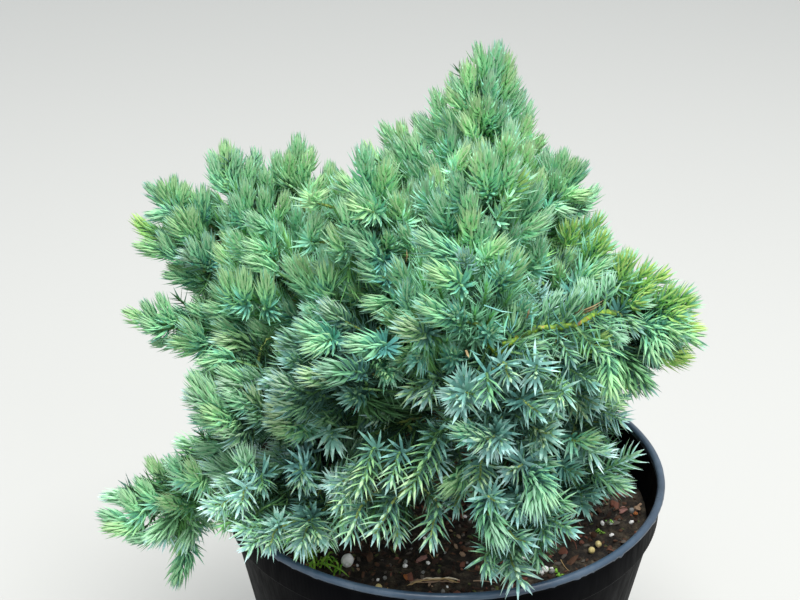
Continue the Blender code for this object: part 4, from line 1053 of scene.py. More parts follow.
# dull shoots on the masses' own twigs, in old-needle colours darkened as painted shade, fewer where the crown hangs
# open
for name in order_names:
    if name == "mass_low_left_droop":
        continue
    line, _ = twig_line[name]
    t, a, b = frames_along(line)
    turn = RNG.uniform(0, math.tau)
    step = 1 if GROWTH[name][5] in ("finger", "brush") else 2
    for k in range(2, 18, step):
        side = a[k] * math.cos(turn) + b[k] * math.sin(turn)
        d = unit(t[k] * 0.8 + side + UP * 0.2 + RNG.normal(0, 0.12, 3))
        ln = RNG.uniform(0.009, 0.014)
        end = line[k] + d * ln
        if clear_of_pot(end + d * 0.006, 0.001):
            path = bezier(line[k], line[k] + unit(side + t[k] * 0.4) * ln * 0.5, end, 5)
            bough_sets.shoot(path, INNER_OLD_AND_SHADED_IDS[int(RNG.integers(len(INNER_OLD_AND_SHADED_IDS)))], HABITS["star"], 0.95, full=False, gap=0.10, sparse=1.25)
            green_tube(path, 0.00050, 0.00034, 3, 2)
            shoot_count += 1
        turn += 2.39996

# old and dead needles on the bare inner wood
dead = Needles()
for name in order_names:
    line, rad = twig_line[name]
    for k in range(12):
        i = int(RNG.integers(1, 14))
        tt = unit(line[i + 1] - line[i])
        side = unit(np.cross(tt, RNG.normal(0, 1, 3)))
        d = unit(tt * RNG.uniform(-0.1, 0.8) + side)
        dead.single(line[i], d, unit(tt - d * np.dot(tt, d)), 0.0078 * RNG.uniform(0.7, 1.0), 0.00090, DEAD_IDS[0])

for bu, bv, tu, tv, near, w in ((576, 313, 606, 303, 2, 0.00100), (580, 314, 604, 306, 3, 0.00080), (574, 315, 586, 304, 3, 0.00080), (527, 318, 530, 309, 3, 0.00080), (466, 350, 469, 359, 3, 0.00080), (406, 262, 408, 249, 2, 0.00090)):
    at = crown_at(bu, bv)
    if at:
        foot, tip = EYE + sight(bu, bv) * (at[0] - 0.004), EYE + sight(tu, tv) * (at[0] - 0.004 - near / 1000)
        d = unit(tip - foot)
        inner = unit(UP - d * d[2])
        dead.single(foot, d, inner, float(np.linalg.norm(tip - foot)), w, DEAD_IDS[0], full=True)

# ---------------------------------------------------------------- needle pieces
pending, pending_names, tri_total, piece_no = [], [], 0, 0
total_tris = 0


def flush():
    global pending, pending_names, tri_total, piece_no, total_tris
    if not pending:
        return
    b = Builder()
    for g in pending:
        build_needles(b, g.gather())
    ob = b.mesh(f"needles_{piece_no}", PALETTE)
    total_tris += b.tris()
    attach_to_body(ob, "root")
    if pending_names:
        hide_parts(*pending_names)
    piece_no += 1
    pending, pending_names, tri_total = [], [], 0


for name in order_names:
    g = needle_sets[name]
    if not g.rows:
        raise RuntimeError(f"{name} grew nothing")
    n = g.count_tris()
    if tri_total + n > PIECE_TRIS:
        flush()
    pending.append(g)
    pending_names.append(name)
    tri_total += n
for g in (dead, bough_sets, open_group):
    n = g.count_tris()
    if tri_total + n > PIECE_TRIS:
        flush()
    pending.append(g)
    tri_total += n
flush()

twigs = TWIGS.mesh("green_twigs", MAT_TWIG)
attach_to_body(twigs, "root")

# ---------------------------------------------------------------- bark
BARK = Builder()


def bark_tube(points, radii, sides, relief, lobes=0.0, cap=True):
    """A limb with scaly relief: long plates with grooves between them."""
    t, a, b = frames_along(points)
    n = len(points)
    seed = float(RNG.uniform(0, 100))
    s = np.concatenate([[0.0], np.cumsum(np.linalg.norm(np.diff(points, axis=0), axis=1))])
    verts = []
    for i in range(n):
        for j in range(sides):
            ang = math.tau * j / sides
            x, y = math.cos(ang), math.sin(ang)
            k = 1.0 / 0.0016
            q = Vector((x * radii[i] * k, y * radii[i] * k, s[i] * 260.0 + seed))
            plates = noise.noise(q) + 0.5 * noise.noise(q * 2.3)
            ridge = 1.0 - min(abs(plates) * 2.6, 1.0)
            swell = noise.noise(Vector((x * 0.9, y * 0.9, s[i] * 60.0 + seed)))
            r = radii[i] * (1.0 + relief * (0.55 - 1.25 * ridge ** 2) + 0.10 * swell + lobes * math.exp(-s[i] * 110.0) * math.cos(3 * ang + 0.6))
            verts.append(points[i] + (a[i] * x + b[i] * y) * r)
    i, j = np.meshgrid(np.arange(n - 1), np.arange(sides), indexing="ij")
    k = (j + 1) % sides
    q = np.stack([i * sides + j, i * sides + k, (i + 1) * sides + k, (i + 1) * sides + j], -1).reshape(-1, 4)
    f = np.vstack([q[:, [0, 1, 2]], q[:, [0, 2, 3]]])
    verts = np.array(verts)
    if cap:
        verts = np.vstack([verts, points[-1] + t[-1] * radii[-1] * 0.6])
        last = (n - 1) * sides
        f = np.vstack([f, [[last + m, last + (m + 1) % sides, n * sides] for m in range(sides)]])
    BARK.add(verts, f, 0)


pts, rad = resample(stem_mid, stem_rad, 0.0007)
bark_tube(pts, rad, 40, 0.10, lobes=0.16)
for name, (mids, radii) in limb.items():
    into = unit(mids[0] - mids[1])
    foot = mids[0] + into * 0.0035
    p = np.vstack([foot, mids])
    r = np.concatenate([[radii[0]], radii])
    pts, rad = resample(p, r, 0.0012)
    s = np.concatenate([[0.0], np.cumsum(np.linalg.norm(np.diff(pts, axis=0), axis=1))])
    rad = rad * (1.0 + 0.45 * np.exp(-s / 0.0035))
    bark_tube(pts, rad, 14, 0.11)
for p, r, relief in wood_lines:
    pts, rad = resample(p, r, 0.0016)
    bark_tube(pts, rad, 8, relief)


# the open twig's own bark: knobs where needles and shoots leave it
OPEN = Builder()
knob = np.array([1.0 + 0.50 * max(0.0, math.cos(k * 0.0008 / 0.0043 * math.tau)) ** 3 + 0.22 * noise.noise(Vector((k * 0.31, 2.0, 5.0))) for k in range(len(OPEN_TWIG))])
t, a, b = frames_along(OPEN_TWIG)
ring = []
for k in range(len(OPEN_TWIG)):
    base = 0.00112 - 0.00034 * k / len(OPEN_TWIG)
    for j in range(12):
        ang = math.tau * j / 12
        q = Vector((math.cos(ang) * 1.3, math.sin(ang) * 1.3, k * 0.42))
        r = base * knob[k] * (1 + 0.34 * noise.noise(q) + 0.20 * noise.noise(q * 2.7))
        ring.append(OPEN_TWIG[k] + (a[k] * math.cos(ang) + b[k] * math.sin(ang)) * r)
i, j = np.meshgrid(np.arange(len(OPEN_TWIG) - 1), np.arange(12), indexing="ij")
k = (j + 1) % 12
q = np.stack([i * 12 + j, i * 12 + k, (i + 1) * 12 + k, (i + 1) * 12 + j], -1).reshape(-1, 4)
last = (len(OPEN_TWIG) - 1) * 12
ring.append(OPEN_TWIG[-1] + t[-1] * 0.0004)
OPEN.add(np.array(ring), np.vstack([q[:, [0, 1, 2]], q[:, [0, 2, 3]], [[last + m, last + (m + 1) % 12, len(ring) - 1] for m in range(12)]]), 0)


def nodes_of(mat):
    return mat.node_tree.nodes, mat.node_tree.links, mat.node_tree.nodes["Principled BSDF"]


def ramp(nodes, stops):
    r = nodes.new("ShaderNodeValToRGB")
    e = r.color_ramp.elements
    e[0].position, e[0].color = stops[0][0], (*stops[0][1], 1)
    e[1].position, e[1].color = stops[-1][0], (*stops[-1][1], 1)
    for pos, col in stops[1:-1]:
        x = e.new(pos)
        x.color = (*col, 1)
    return r


def noise_node(nodes, links, coord, scale, detail=4.0, rough=0.55, stretch=None):
    n = nodes.new("ShaderNodeTexNoise")
    n.inputs["Scale"].default_value = scale
    n.inputs["Detail"].default_value = detail
    n.inputs["Roughness"].default_value = rough
    if stretch:
        m = nodes.new("ShaderNodeMapping")
        m.inputs["Scale"].default_value = stretch
        links.new(coord, m.inputs["Vector"])
        links.new(m.outputs["Vector"], n.inputs["Vector"])
    else:
        links.new(coord, n.inputs["Vector"])
    return n


def bump(nodes, links, height, shader, strength, distance):
    b = nodes.new("ShaderNodeBump")
    b.inputs["Strength"].default_value = strength
    b.inputs["Distance"].default_value = distance
    links.new(height, b.inputs["Height"])
    links.new(b.outputs["Normal"], shader.inputs["Normal"])


def bark_material():
    m = bpy.data.materials.new("bark")
    m.use_nodes = True
    nodes, links, shader = nodes_of(m)
    co = nodes.new("ShaderNodeTexCoord").outputs["Object"]
    big = noise_node(nodes, links, co, 420.0, 5.0, 0.62, (1.0, 1.0, 0.35))
    r = ramp(nodes, [(0.28, (0.030, 0.017, 0.010)), (0.45, (0.085, 0.047, 0.026)), (0.60, (0.140, 0.084, 0.048)), (0.78, (0.220, 0.150, 0.100))])
    links.new(big.outputs["Fac"], r.inputs["Fac"])
    links.new(r.outputs["Color"], shader.inputs["Base Color"])
    fine = noise_node(nodes, links, co, 1500.0, 3.0)
    bump(nodes, links, fine.outputs["Fac"], shader, 0.5, 0.0003)
    shader.inputs["Roughness"].default_value = 0.86
    shader.inputs["Specular IOR Level"].default_value = 0.25
    return m


def young_bark_material():
    m = bpy.data.materials.new("young_bark")
    m.use_nodes = True
    nodes, links, shader = nodes_of(m)
    co = nodes.new("ShaderNodeTexCoord").outputs["Object"]
    big = noise_node(nodes, links, co, 330.0, 4.0, 0.62)
    r = ramp(nodes, [(0.30, (0.020, 0.045, 0.008)), (0.40, (0.045, 0.105, 0.014)), (0.49, (0.110, 0.230, 0.020)), (0.56, (0.230, 0.330, 0.030)), (0.61, (0.300, 0.220, 0.050)), (0.68, (0.190, 0.095, 0.035)), (0.76, (0.055, 0.038, 0.014))])
    links.new(big.outputs["Fac"], r.inputs["Fac"])
    links.new(r.outputs["Color"], shader.inputs["Base Color"])
    fine = noise_node(nodes, links, co, 1800.0, 3.0)
    bump(nodes, links, fine.outputs["Fac"], shader, 0.4, 0.0002)
    shader.inputs["Roughness"].default_value = 0.55
    shader.inputs["Specular IOR Level"].default_value = 0.35
    return m


young = OPEN.mesh("open_young_twig", [young_bark_material()], smooth=True)
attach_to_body(young, "root")

bark = BARK.mesh("bark_stem_and_boughs", [bark_material()], smooth=True)
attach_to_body(bark, "root")
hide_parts("stem", *sorted(limb))

# ---------------------------------------------------------------- pot
def pot_mesh():
    """Rolled lip, plain collar, tapered wall with fine upright ribs, and a flat foot."""
    ribs = 300
    segs = ribs * 2
    lip_low = POT_H - LIP_H
    collar_low = lip_low - COLLAR_H
    rows = []                                   # radius, height, rib share, lip waviness share
    rows.append((0.0005, 0.0022, 0, 0))
    rows.append((wall_outer(0.004) - WALL - 0.0020, 0.0022, 0, 0))
    rows.append((wall_outer(0.006) - WALL, 0.0060, 0, 0))
    for k in range(1, 7):
        z = 0.006 + (collar_low - 0.0015 - 0.006) * k / 6
        rows.append((wall_outer(z) - WALL, z, 0, 0))
    rows.append((COLLAR_R - WALL - 0.0006, collar_low + 0.0006, 0, 0))
    rows.append((COLLAR_R - WALL, lip_low, 0, 0))
    cx, cz, ra = LIP_R - 0.0015, POT_H - 0.0013, 0.0013      # the rolled lip: a bead
    for k in range(13):
        ang = math.radians(200 - k * 22.5)
        rows.append((cx + (ra + 0.0002) * math.cos(ang), cz + ra * math.sin(ang), 0, max(0.0, min(1.0, (k - 7) / 4))))
    rows.append((COLLAR_R + 0.0002, lip_low - 0.0003, 0, 0.4))
    rows.append((COLLAR_R, lip_low - 0.0009, 0.0, 0))
    rows.append((COLLAR_R, lip_low - 0.0016, 1.0, 0))
    rows.append((COLLAR_R - 0.0003, collar_low + 0.0006, 1.0, 0))
    rows.append((COLLAR_R - 0.0005, collar_low, 0.4, 0))
    rows.append((SHOULDER_R + 0.0002, collar_low - 0.0011, 0.3, 0))
    rows.append((SHOULDER_R, collar_low - 0.0018, 1.0, 0))
    for k in range(1, 9):
        z = collar_low - 0.0018 + (0.0050 - collar_low + 0.0018) * k / 8
        rows.append((wall_outer(z), z, 1.0, 0))
    rows.append((BASE_R + 0.0012, 0.0026, 0.5, 0))
    rows.append((BASE_R + 0.0002, 0.0009, 0, 0))
    rows.append((BASE_R - 0.0010, 0.0, 0, 0))
    rows.append((BASE_R - 0.0070, 0.0, 0, 0))
    rows.append((BASE_R - 0.0078, 0.0008, 0, 0))
    rows.append((0.0300, 0.0008, 0, 0))
    rows.append((0.0292, 0.0, 0, 0))
    rows.append((0.0005, 0.0, 0, 0))
    rows = np.array(rows)
    ang = np.arange(segs) * math.tau / segs
    rib = np.where(np.arange(segs) % 2 == 0, 1.0, 0.0)
    wave = np.array([noise.noise(Vector((math.cos(a) * 9, math.sin(a) * 9, 3.0))) + 0.6 * noise.noise(Vector((math.cos(a) * 30, math.sin(a) * 30, 7.0))) for a in ang])
    nick = np.array([max(0.0, noise.noise(Vector((math.cos(a) * 42, math.sin(a) * 42, 11.0))) - 0.25) for a in ang])
    oval = 1.0 + 0.0025 * np.cos(2 * ang + 0.7)
    R = rows[:, 0][:, None] + rows[:, 2][:, None] * rib[None] * 0.00013 + rows[:, 3][:, None] * (wave * 0.00018 + nick * 0.0007)[None]
    high = np.clip(rows[:, 1] / POT_H, 0, 1)[:, None]
    R = R * (1 + (oval[None] - 1) * high)
    Z = rows[:, 1][:, None] + rows[:, 3][:, None] * (wave * 0.00025 - nick * 0.0009)[None]
    v = np.stack([R * np.cos(ang)[None], R * np.sin(ang)[None], np.broadcast_to(Z, R.shape)], -1).reshape(-1, 3)
    n = len(rows)
    i, j = np.meshgrid(np.arange(n - 1), np.arange(segs), indexing="ij")
    k = (j + 1) % segs
    q = np.stack([i * segs + j, (i + 1) * segs + j, (i + 1) * segs + k, i * segs + k], -1).reshape(-1, 4)
    b = Builder()
    bead = ((i.ravel() >= 10) & (i.ravel() < 23)).astype(int)          # the lip's bead has the blue-grey plastic, its colour a painted sky sheen
    b.add(v, np.vstack([q[:, [0, 1, 2]], q[:, [0, 2, 3]]]), np.concatenate([bead, bead]))
    return b


def pot_material(name, stops, shine, gloss):
    m = bpy.data.materials.new(name)
    m.use_nodes = True
    nodes, links, shader = nodes_of(m)
    co = nodes.new("ShaderNodeTexCoord").outputs["Object"]
    dust_and_sheen = noise_node(nodes, links, co, 60.0, 6.0, 0.6, (1.0, 1.0, 0.35))
    r = ramp(nodes, stops)
    links.new(dust_and_sheen.outputs["Fac"], r.inputs["Fac"])
    links.new(r.outputs["Color"], shader.inputs["Base Color"])
    scuff = noise_node(nodes, links, co, 300.0, 5.0, 0.6, (1.0, 1.0, 0.25))
    mr = nodes.new("ShaderNodeMapRange")
    mr.inputs["From Min"].default_value, mr.inputs["From Max"].default_value = 0.3, 0.75
    mr.inputs["To Min"].default_value, mr.inputs["To Max"].default_value = gloss
    links.new(scuff.outputs["Fac"], mr.inputs["Value"])
    links.new(mr.outputs["Result"], shader.inputs["Roughness"])
    fine = noise_node(nodes, links, co, 1400.0, 3.0, 0.5, (1.0, 1.0, 0.15))
    bump(nodes, links, fine.outputs["Fac"], shader, 0.25, 0.00012)
    shader.inputs["Specular IOR Level"].default_value = shine
    return m


PLASTIC = pot_material("black_plastic", [(0.35, (0.0007, 0.0008, 0.0012)), (0.60, (0.0014, 0.0015, 0.0022)), (0.80, (0.0040, 0.0043, 0.0055))], 0.017, (0.36, 0.60))
# the lip's blue-grey colour stands for the sky's reflection on black plastic: a painted sheen, mottled by noise
LIP_SHEEN_PLASTIC = pot_material("worn_lip_plastic", [(0.30, (0.015, 0.031, 0.056)), (0.55, (0.029, 0.055, 0.090)), (0.80, (0.075, 0.105, 0.145))], 0.42, (0.26, 0.46))
pot = pot_mesh().mesh("nursery_pot", [PLASTIC, LIP_SHEEN_PLASTIC], smooth=True)
pot.data.set_sharp_from_angle(angle=math.radians(55))
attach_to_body(pot, "root")
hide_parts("pot")


# ---------------------------------------------------------------- compost
def soil_height(x, y):
    r = math.hypot(x, y)
    share = min(r / 0.078, 1.0)
    base = SOIL_EDGE + SOIL_CROWN * (1 - share * share)
    q = Vector((x * 90, y * 90, 0.3))
    lumps = 0.0014 * noise.noise(q) + 0.0013 * noise.noise(q * 3.1) + 0.0009 * noise.noise(q * 8.0)
    return base - 0.0006 + lumps


def soil_mesh():
    b = Builder()
    rings, segs = 74, 200
    edge = wall_outer(SOIL_EDGE) - WALL - 0.0003
    verts = [(0.0, 0.0, soil_height(0, 0))]
    for i in range(1, rings + 1):
        r = edge * i / rings
        for j in range(segs):
            a = math.tau * j / segs + (0.5 * math.tau / segs if i % 2 else 0)
            x, y = r * math.cos(a), r * math.sin(a)
            verts.append((x, y, soil_height(x, y)))
    faces = [(0, 1 + j, 1 + (j + 1) % segs) for j in range(segs)]
    for i in range(rings - 1):
        o, p = 1 + i * segs, 1 + (i + 1) * segs
        for j in range(segs):
            k = (j + 1) % segs
            faces += [(o + j, p + j, p + k), (o + j, p + k, o + k)]
    low = len(verts)
    bottom_r = wall_outer(0.006) - WALL - 0.0008
    for j in range(segs):
        a = math.tau * j / segs
        verts.append((bottom_r * math.cos(a), bottom_r * math.sin(a), 0.0026))
    o = 1 + (rings - 1) * segs
    for j in range(segs):
        k = (j + 1) % segs
        faces += [(o + j, low + j, low + k), (o + j, low + k, o + k)]
    verts.append((0, 0, 0.0026))
    faces += [(low + j, len(verts) - 1, low + (j + 1) % segs) for j in range(segs)]
    b.add(verts, faces, 0)
    return b


def soil_material():
    m = bpy.data.materials.new("compost")
    m.use_nodes = True
    nodes, links, shader = nodes_of(m)
    co = nodes.new("ShaderNodeTexCoord").outputs["Object"]
    n1 = noise_node(nodes, links, co, 260.0, 8.0, 0.7)
    r = ramp(nodes, [(0.32, (0.004, 0.003, 0.0025)), (0.46, (0.016, 0.012, 0.009)), (0.56, (0.045, 0.034, 0.022)), (0.66, (0.100, 0.080, 0.055)), (0.78, (0.220, 0.190, 0.140))])
    links.new(n1.outputs["Fac"], r.inputs["Fac"])
    links.new(r.outputs["Color"], shader.inputs["Base Color"])
    fine = noise_node(nodes, links, co, 900.0, 6.0, 0.7)
    bump(nodes, links, fine.outputs["Fac"], shader, 0.9, 0.0008)
    shader.inputs["Roughness"].default_value = 0.82
    shader.inputs["Specular IOR Level"].default_value = 0.35
    return m


soil = soil_mesh().mesh("compost", [soil_material()], smooth=True)
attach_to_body(soil, "root")
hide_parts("soil")

BIT_MATS = [
    plain("chip_dark", (0.035, 0.018, 0.012), 0.85, 0.3),
    plain("chip_brown", (0.085, 0.042, 0.024), 0.80, 0.3),
    plain("chip_red", (0.165, 0.062, 0.040), 0.75, 0.35),
    plain("chip_pale", (0.300, 0.200, 0.130), 0.75, 0.35),
    plain("grit_white", (0.950, 0.940, 0.920), 0.60, 0.4),
    plain("grit_grey", (0.240, 0.240, 0.230), 0.70, 0.4),
    plain("feed_prill", (0.680, 0.560, 0.240), 0.35, 0.5),
    plain("straw", (0.480, 0.330, 0.150), 0.60, 0.4),
    plain("moss", (0.150, 0.400, 0.030), 0.60, 0.4),
    plain("moss_light", (0.280, 0.560, 0.060), 0.55, 0.4),
    plain("crumb_grey", (0.110, 0.095, 0.080), 0.90, 0.25),
    plain("crumb_mossy", (0.085, 0.100, 0.035), 0.90, 0.25),
    plain("chip_pink", (0.270, 0.135, 0.115), 0.75, 0.30),
    plain("chip_orange", (0.360, 0.120, 0.035), 0.70, 0.35),
    plain("straw_light", (0.780, 0.680, 0.500), 0.60, 0.4),
]
BITS = Builder()


def lump(centre, size, flat, mat, rough=0.25, turns=None, fine=1):
    """A small angular piece: a knocked-about ball of few faces."""
    bm = bmesh.new()
    bmesh.ops.create_icosphere(bm, subdivisions=fine, radius=1.0)
    rot = np.linalg.qr(RNG.normal(0, 1, (3, 3)))[0] if turns is None else turns
    v = np.array([x.co[:] for x in bm.verts]) * (1 + RNG.uniform(-rough, rough, (len(bm.verts), 1)))
    f = [[x.index for x in face.verts] for face in bm.faces]
    bm.free()
    v = (v * np.array(size)) @ rot.T
    v[:, 2] *= flat
    BITS.add(v + centre, f, mat)


def chip(centre, length, width, thick, mat):
    lump(centre, (length / 2, width / 2, thick / 2), 0.75, mat, 0.3)


def on_soil(x, y, lift=0.0):
    return np.array([x, y, soil_height(x, y) + lift])


edge = wall_outer(SOIL_EDGE) - WALL - 0.0020
for _ in range(2300):
    r, a = edge * math.sqrt(RNG.random()), RNG.uniform(0, math.tau)
    x, y = r * math.cos(a), r * math.sin(a)
    size = RNG.uniform(0.0009, 0.0032) * (1.7 if RNG.random() < 0.10 else 1.0)
    mat = int(RNG.choice([0, 1, 2, 3, 10, 11], p=[0.36, 0.22, 0.12, 0.08, 0.14, 0.08]))
    chip(on_soil(x, y, size * 0.14), size, size * RNG.uniform(0.35, 0.8), size * RNG.uniform(0.25, 0.6), mat)
for _ in range(150):
    r, a = edge * math.sqrt(RNG.random()), RNG.uniform(0, math.tau)
    x, y = r * math.cos(a), r * math.sin(a)
    size = RNG.uniform(0.0005, 0.0012)
    lump(on_soil(x, y, size * 0.4), (size, size * 0.8, size * 0.7), 1.0, 4 if RNG.random() < 0.55 else 5, 0.15)
FLAT = np.eye(3)


def tilted(ax, deg):
    """A turn about a level or upright axis, as a matrix."""
    c, s = math.cos(math.radians(deg)), math.sin(math.radians(deg))
    return np.array({"x": [[1, 0, 0], [0, c, -s], [0, s, c]], "y": [[c, 0, s], [0, 1, 0], [-s, 0, c]], "z": [[c, -s, 0], [s, c, 0], [0, 0, 1]]}[ax], float)


# stones: one large white oval one near the front lip, small ones, and pairs of feed prills
lump(on_soil(-0.0340, -0.0447, 0.0022), (0.0023, 0.0020, 0.0028), 1.0, 4, 0.04, tilted("y", 14), 3)
for x, y, size, mat in ((-0.0129, -0.0461, 0.0010, 4), (-0.0200, -0.0530, 0.0009, 5), (0.0381, -0.0450, 0.0014, 4), (0.0403, -0.0478, 0.0011, 5), (0.0350, -0.0420, 0.0008, 4),
                        (0.0735, -0.0040, 0.0012, 5), (-0.0060, -0.0300, 0.0009, 4), (-0.050, 0.020, 0.0016, 4), (0.020, 0.062, 0.0018, 4), (0.055, 0.045, 0.0013, 5), (-0.030, 0.060, 0.0014, 5)):
    lump(on_soil(x, y, size * 0.7), (size, size * 0.85, size * 0.9), 1.0, mat, 0.10, None, 2)
for x, y in ((0.0558, -0.0330), (0.0586, -0.0292), (-0.022, -0.058), (-0.046, 0.030), (-0.0435, 0.0330), (0.015, 0.060), (0.050, 0.035), (-0.060, -0.012)):
    lump(on_soil(x, y, 0.0011), (0.00135, 0.00128, 0.00120), 1.0, 6, 0.04, None, 2)
# larger pieces of bark, reddish, by the right wall and at the front
for x, y, ln, wd, mat in ((0.0637, 0.0021, 0.0062, 0.0030, 2), (0.0674, -0.0003, 0.0050, 0.0028, 2), (0.0703, -0.0028, 0.0044, 0.0024, 12), (0.0600, 0.0060, 0.0058, 0.0030, 12),
                          (0.0710, 0.0080, 0.0060, 0.0034, 12), (0.0650, -0.0141, 0.0050, 0.0026, 10), (0.0560, -0.0080, 0.0052, 0.0026, 2), (-0.0120, -0.0535, 0.0030, 0.0022, 13),
                          (0.0745, -0.0080, 0.0028, 0.0016, 13), (0.0480, -0.0400, 0.0060, 0.0024, 1), (0.0420, -0.0300, 0.0050, 0.0028, 2), (-0.0260, -0.0420, 0.0052, 0.0030, 1),
                          (-0.0070, -0.0420, 0.0050, 0.0022, 12), (0.0180, -0.0480, 0.0062, 0.0026, 1), (-0.0560, -0.0160, 0.0055, 0.0028, 2), (-0.0300, 0.0560, 0.0060, 0.0030, 12)):
    turn = tilted("z", RNG.uniform(0, 180)) @ tilted("y", RNG.uniform(-22, 22)) @ tilted("x", RNG.uniform(-22, 22))
    lump(on_soil(x, y, 0.0010), (ln / 2, wd / 2, 0.0007), 1.0, mat, 0.28, turn, 2)
# a pale ragged splinter of straw along the front lip
SPLINTER = np.array([(-11.9, -59.0), (-8.4, -55.3), (-3.7, -54.6), (1.7, -54.3), (7.0, -55.3), (12.4, -56.9)]) / 1000
for strand in range(4):
    lift = 0.0006 + 0.0004 * (strand % 3)
    shift = (strand - 1.5) * 0.00052
    run = np.array([on_soil(x, y + shift + RNG.normal(0, 0.0002), lift + RNG.normal(0, 0.0002)) for x, y in SPLINTER])
    run, _ = resample(run, np.ones(len(run)), 0.0012)
    a0, b0 = int(RNG.integers(0, 8)), len(run) - int(RNG.integers(0, 10))
    run = run[a0:b0] + RNG.normal(0, 0.00014, (b0 - a0, 3))
    tube(BITS, run, 0.00030 * np.interp(np.linspace(0, 1, len(run)), (0, 0.1, 0.9, 1), (0.4, 1, 1, 0.3)) * RNG.uniform(0.7, 1.3, len(run)), 5, (3, 7, 14, 3, 14)[strand])
for _ in range(90):                                # fibres and fallen needles
    r, a = edge * 0.96 * math.sqrt(RNG.random()), RNG.uniform(0, math.tau)
    x, y = r * math.cos(a), r * math.sin(a)
    h = RNG.uniform(0, math.tau)
    ln = RNG.uniform(0.004, 0.011)
    p0 = on_soil(x, y, 0.0006)
    x1, y1 = x + math.cos(h) * ln, y + math.sin(h) * ln
    if math.hypot(x1, y1) > edge:
        continue
    p2 = on_soil(x1, y1, 0.0006)
    p1 = (p0 + p2) / 2 + np.array([RNG.normal(0, 0.001), RNG.normal(0, 0.001), RNG.uniform(0, 0.0012)])
    rr = RNG.uniform(0.00015, 0.00035)
    tube(BITS, bezier(p0, p1, p2, 5), np.linspace(rr, rr * 0.5, 5), 4, int(RNG.choice([1, 3, 7, 2], p=[0.35, 0.25, 0.2, 0.2])))


def tuft(x, y, blades, size):
    for _ in range(blades):
        a = RNG.uniform(0, math.tau)
        p0 = on_soil(x + RNG.normal(0, size * 0.5), y + RNG.normal(0, size * 0.5))
        h = RNG.uniform(0.6, 1.0) * size
        out = np.array([math.cos(a), math.sin(a), 0.0])
        p2 = p0 + out * h * RNG.uniform(0.4, 1.0) + np.array([0, 0, h * RNG.uniform(0.3, 0.9)])
        p1 = p0 + np.array([0, 0, h * 0.8])
        path = bezier(p0, p1, p2, 4)
        side = unit(np.cross(out, [0, 0, 1])) * 0.00034
        v = np.vstack([path[0] - side, path[0] + side, path[1] - side * 1.3, path[1] + side * 1.3, path[2] - side, path[2] + side, path[3]])
        BITS.add(v, [(0, 1, 3), (0, 3, 2), (2, 3, 5), (2, 5, 4), (4, 5, 6)], 8 if RNG.random() < 0.5 else 9)


for x, y, n, size in ((-0.0475, -0.0420, 12, 0.0065), (-0.0440, -0.0455, 14, 0.0075), (-0.0505, -0.0385, 8, 0.0060), (-0.0405, -0.0480, 8, 0.0060), (0.0650, -0.0141, 12, 0.0020), (0.0600, -0.0197, 10, 0.0020),
                      (0.0432, -0.0492, 12, 0.0025), (0.058, 0.040, 14, 0.0035), (-0.020, 0.066, 12, 0.0035)):
    tuft(x, y, n, size)

for (x0, y0), (x1, y1), rise in (((-0.0430, -0.0450), (-0.0330, -0.0525), 0.0030), ((-0.0460, -0.0440), (-0.0390, -0.0500), 0.0045), ((-0.0480, -0.0400), (-0.0520, -0.0340), 0.0050), ((-0.0440, -0.0460), (-0.0400, -0.0430), 0.0060)):
    p0, p2 = on_soil(x0, y0), on_soil(x1, y1, 0.0012)          # longer blades lying outwards
    path = bezier(p0, (p0 + p2) / 2 + np.array([0, 0, rise]), p2, 6)
    tube(BITS, path, np.array([0.00045, 0.0005, 0.00048, 0.0004, 0.0003, 0.0001]), 4, 9)

bits = BITS.mesh("compost_bits", BIT_MATS)
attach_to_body(bits, "root")

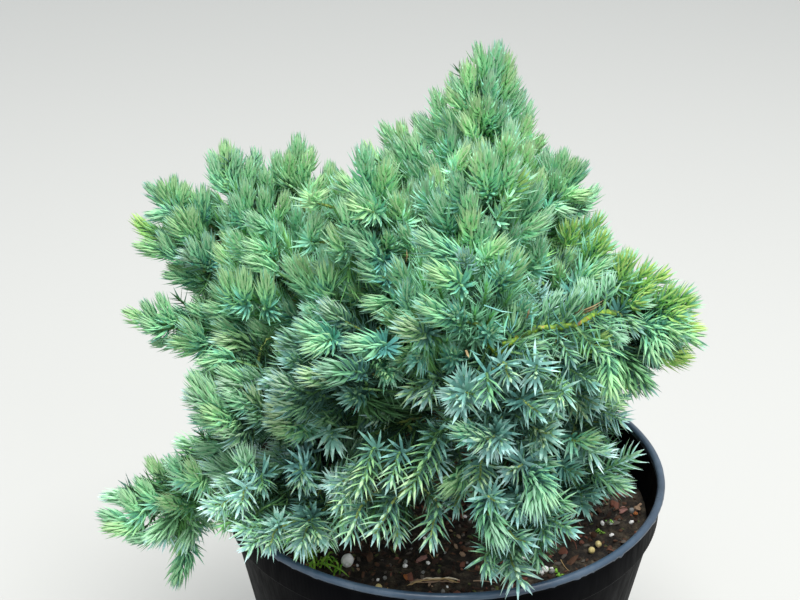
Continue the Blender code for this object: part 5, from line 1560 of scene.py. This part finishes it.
# ---------------------------------------------------------------- floor, light, camera
floor_me = bpy.data.meshes.new("floor")
floor_me.from_pydata([(-6, -6, 0), (6, -6, 0), (6, 6, 0), (-6, 6, 0)], [], [(0, 1, 2, 3)])
floor = bpy.data.objects.new("floor", floor_me)
bpy.context.scene.collection.objects.link(floor)
floor_me.materials.append(plain("pale_floor", (0.36, 0.36, 0.35), 0.85, 0.2))

world = bpy.data.worlds.new("studio")
bpy.context.scene.world = world
world.use_nodes = True
world.node_tree.nodes["Background"].inputs["Color"].default_value = (0.94, 0.98, 1.0, 1.0)
world.node_tree.nodes["Background"].inputs["Strength"].default_value = 1.20


def area(name, loc, target, size, power, colour=(1, 1, 1)):
    data = bpy.data.lights.new(name, "AREA")
    data.shape = "DISK"
    data.size = size
    data.energy = power
    data.color = colour
    ob = bpy.data.objects.new(name, data)
    bpy.context.scene.collection.objects.link(ob)
    ob.location = loc
    ob.rotation_mode = "QUATERNION"
    ob.rotation_quaternion = (Vector(target) - Vector(loc)).to_track_quat("-Z", "Y")
    return ob


area("overhead", (0.12, -0.25, 1.55), (0, 0, 0.2), 1.1, 42.0, (1.0, 0.99, 0.97))
area("left_soft", (-1.25, -1.0, 0.95), (0, 0, 0.2), 0.9, 1.8, (0.97, 0.99, 1.0))
area("front_soft", (0.95, -1.35, 1.2), (0, 0, 0.18), 0.9, 5.0, (0.97, 0.99, 1.0))

cam_data = bpy.data.cameras.new("camera")
cam_data.sensor_width = 36.0
cam_data.lens = 72.0
cam_data.clip_start, cam_data.clip_end = 0.01, 50.0
cam = bpy.data.objects.new("camera", cam_data)
bpy.context.scene.collection.objects.link(cam)
cam.location = tuple(EYE)
cam.rotation_mode = "QUATERNION"
cam.rotation_quaternion = Vector(LOOK).to_track_quat("-Z", "Y")
bpy.context.scene.camera = cam

bpy.context.scene.view_settings.view_transform = "Standard"
bpy.context.scene.view_settings.look = "None"
bpy.context.scene.view_settings.exposure = 0.0

print("missing sprays", missing)
print("samples", len(S_PTS), "outer", len(outer), "under", len(under), "inner", len(inner), "coarse", len(coarse), "shoots", shoot_count, "needle tris", total_tris, "twig tris", TWIGS.tris(), "bark tris", BARK.tris(), "bits", BITS.tris(), "pieces", piece_no)
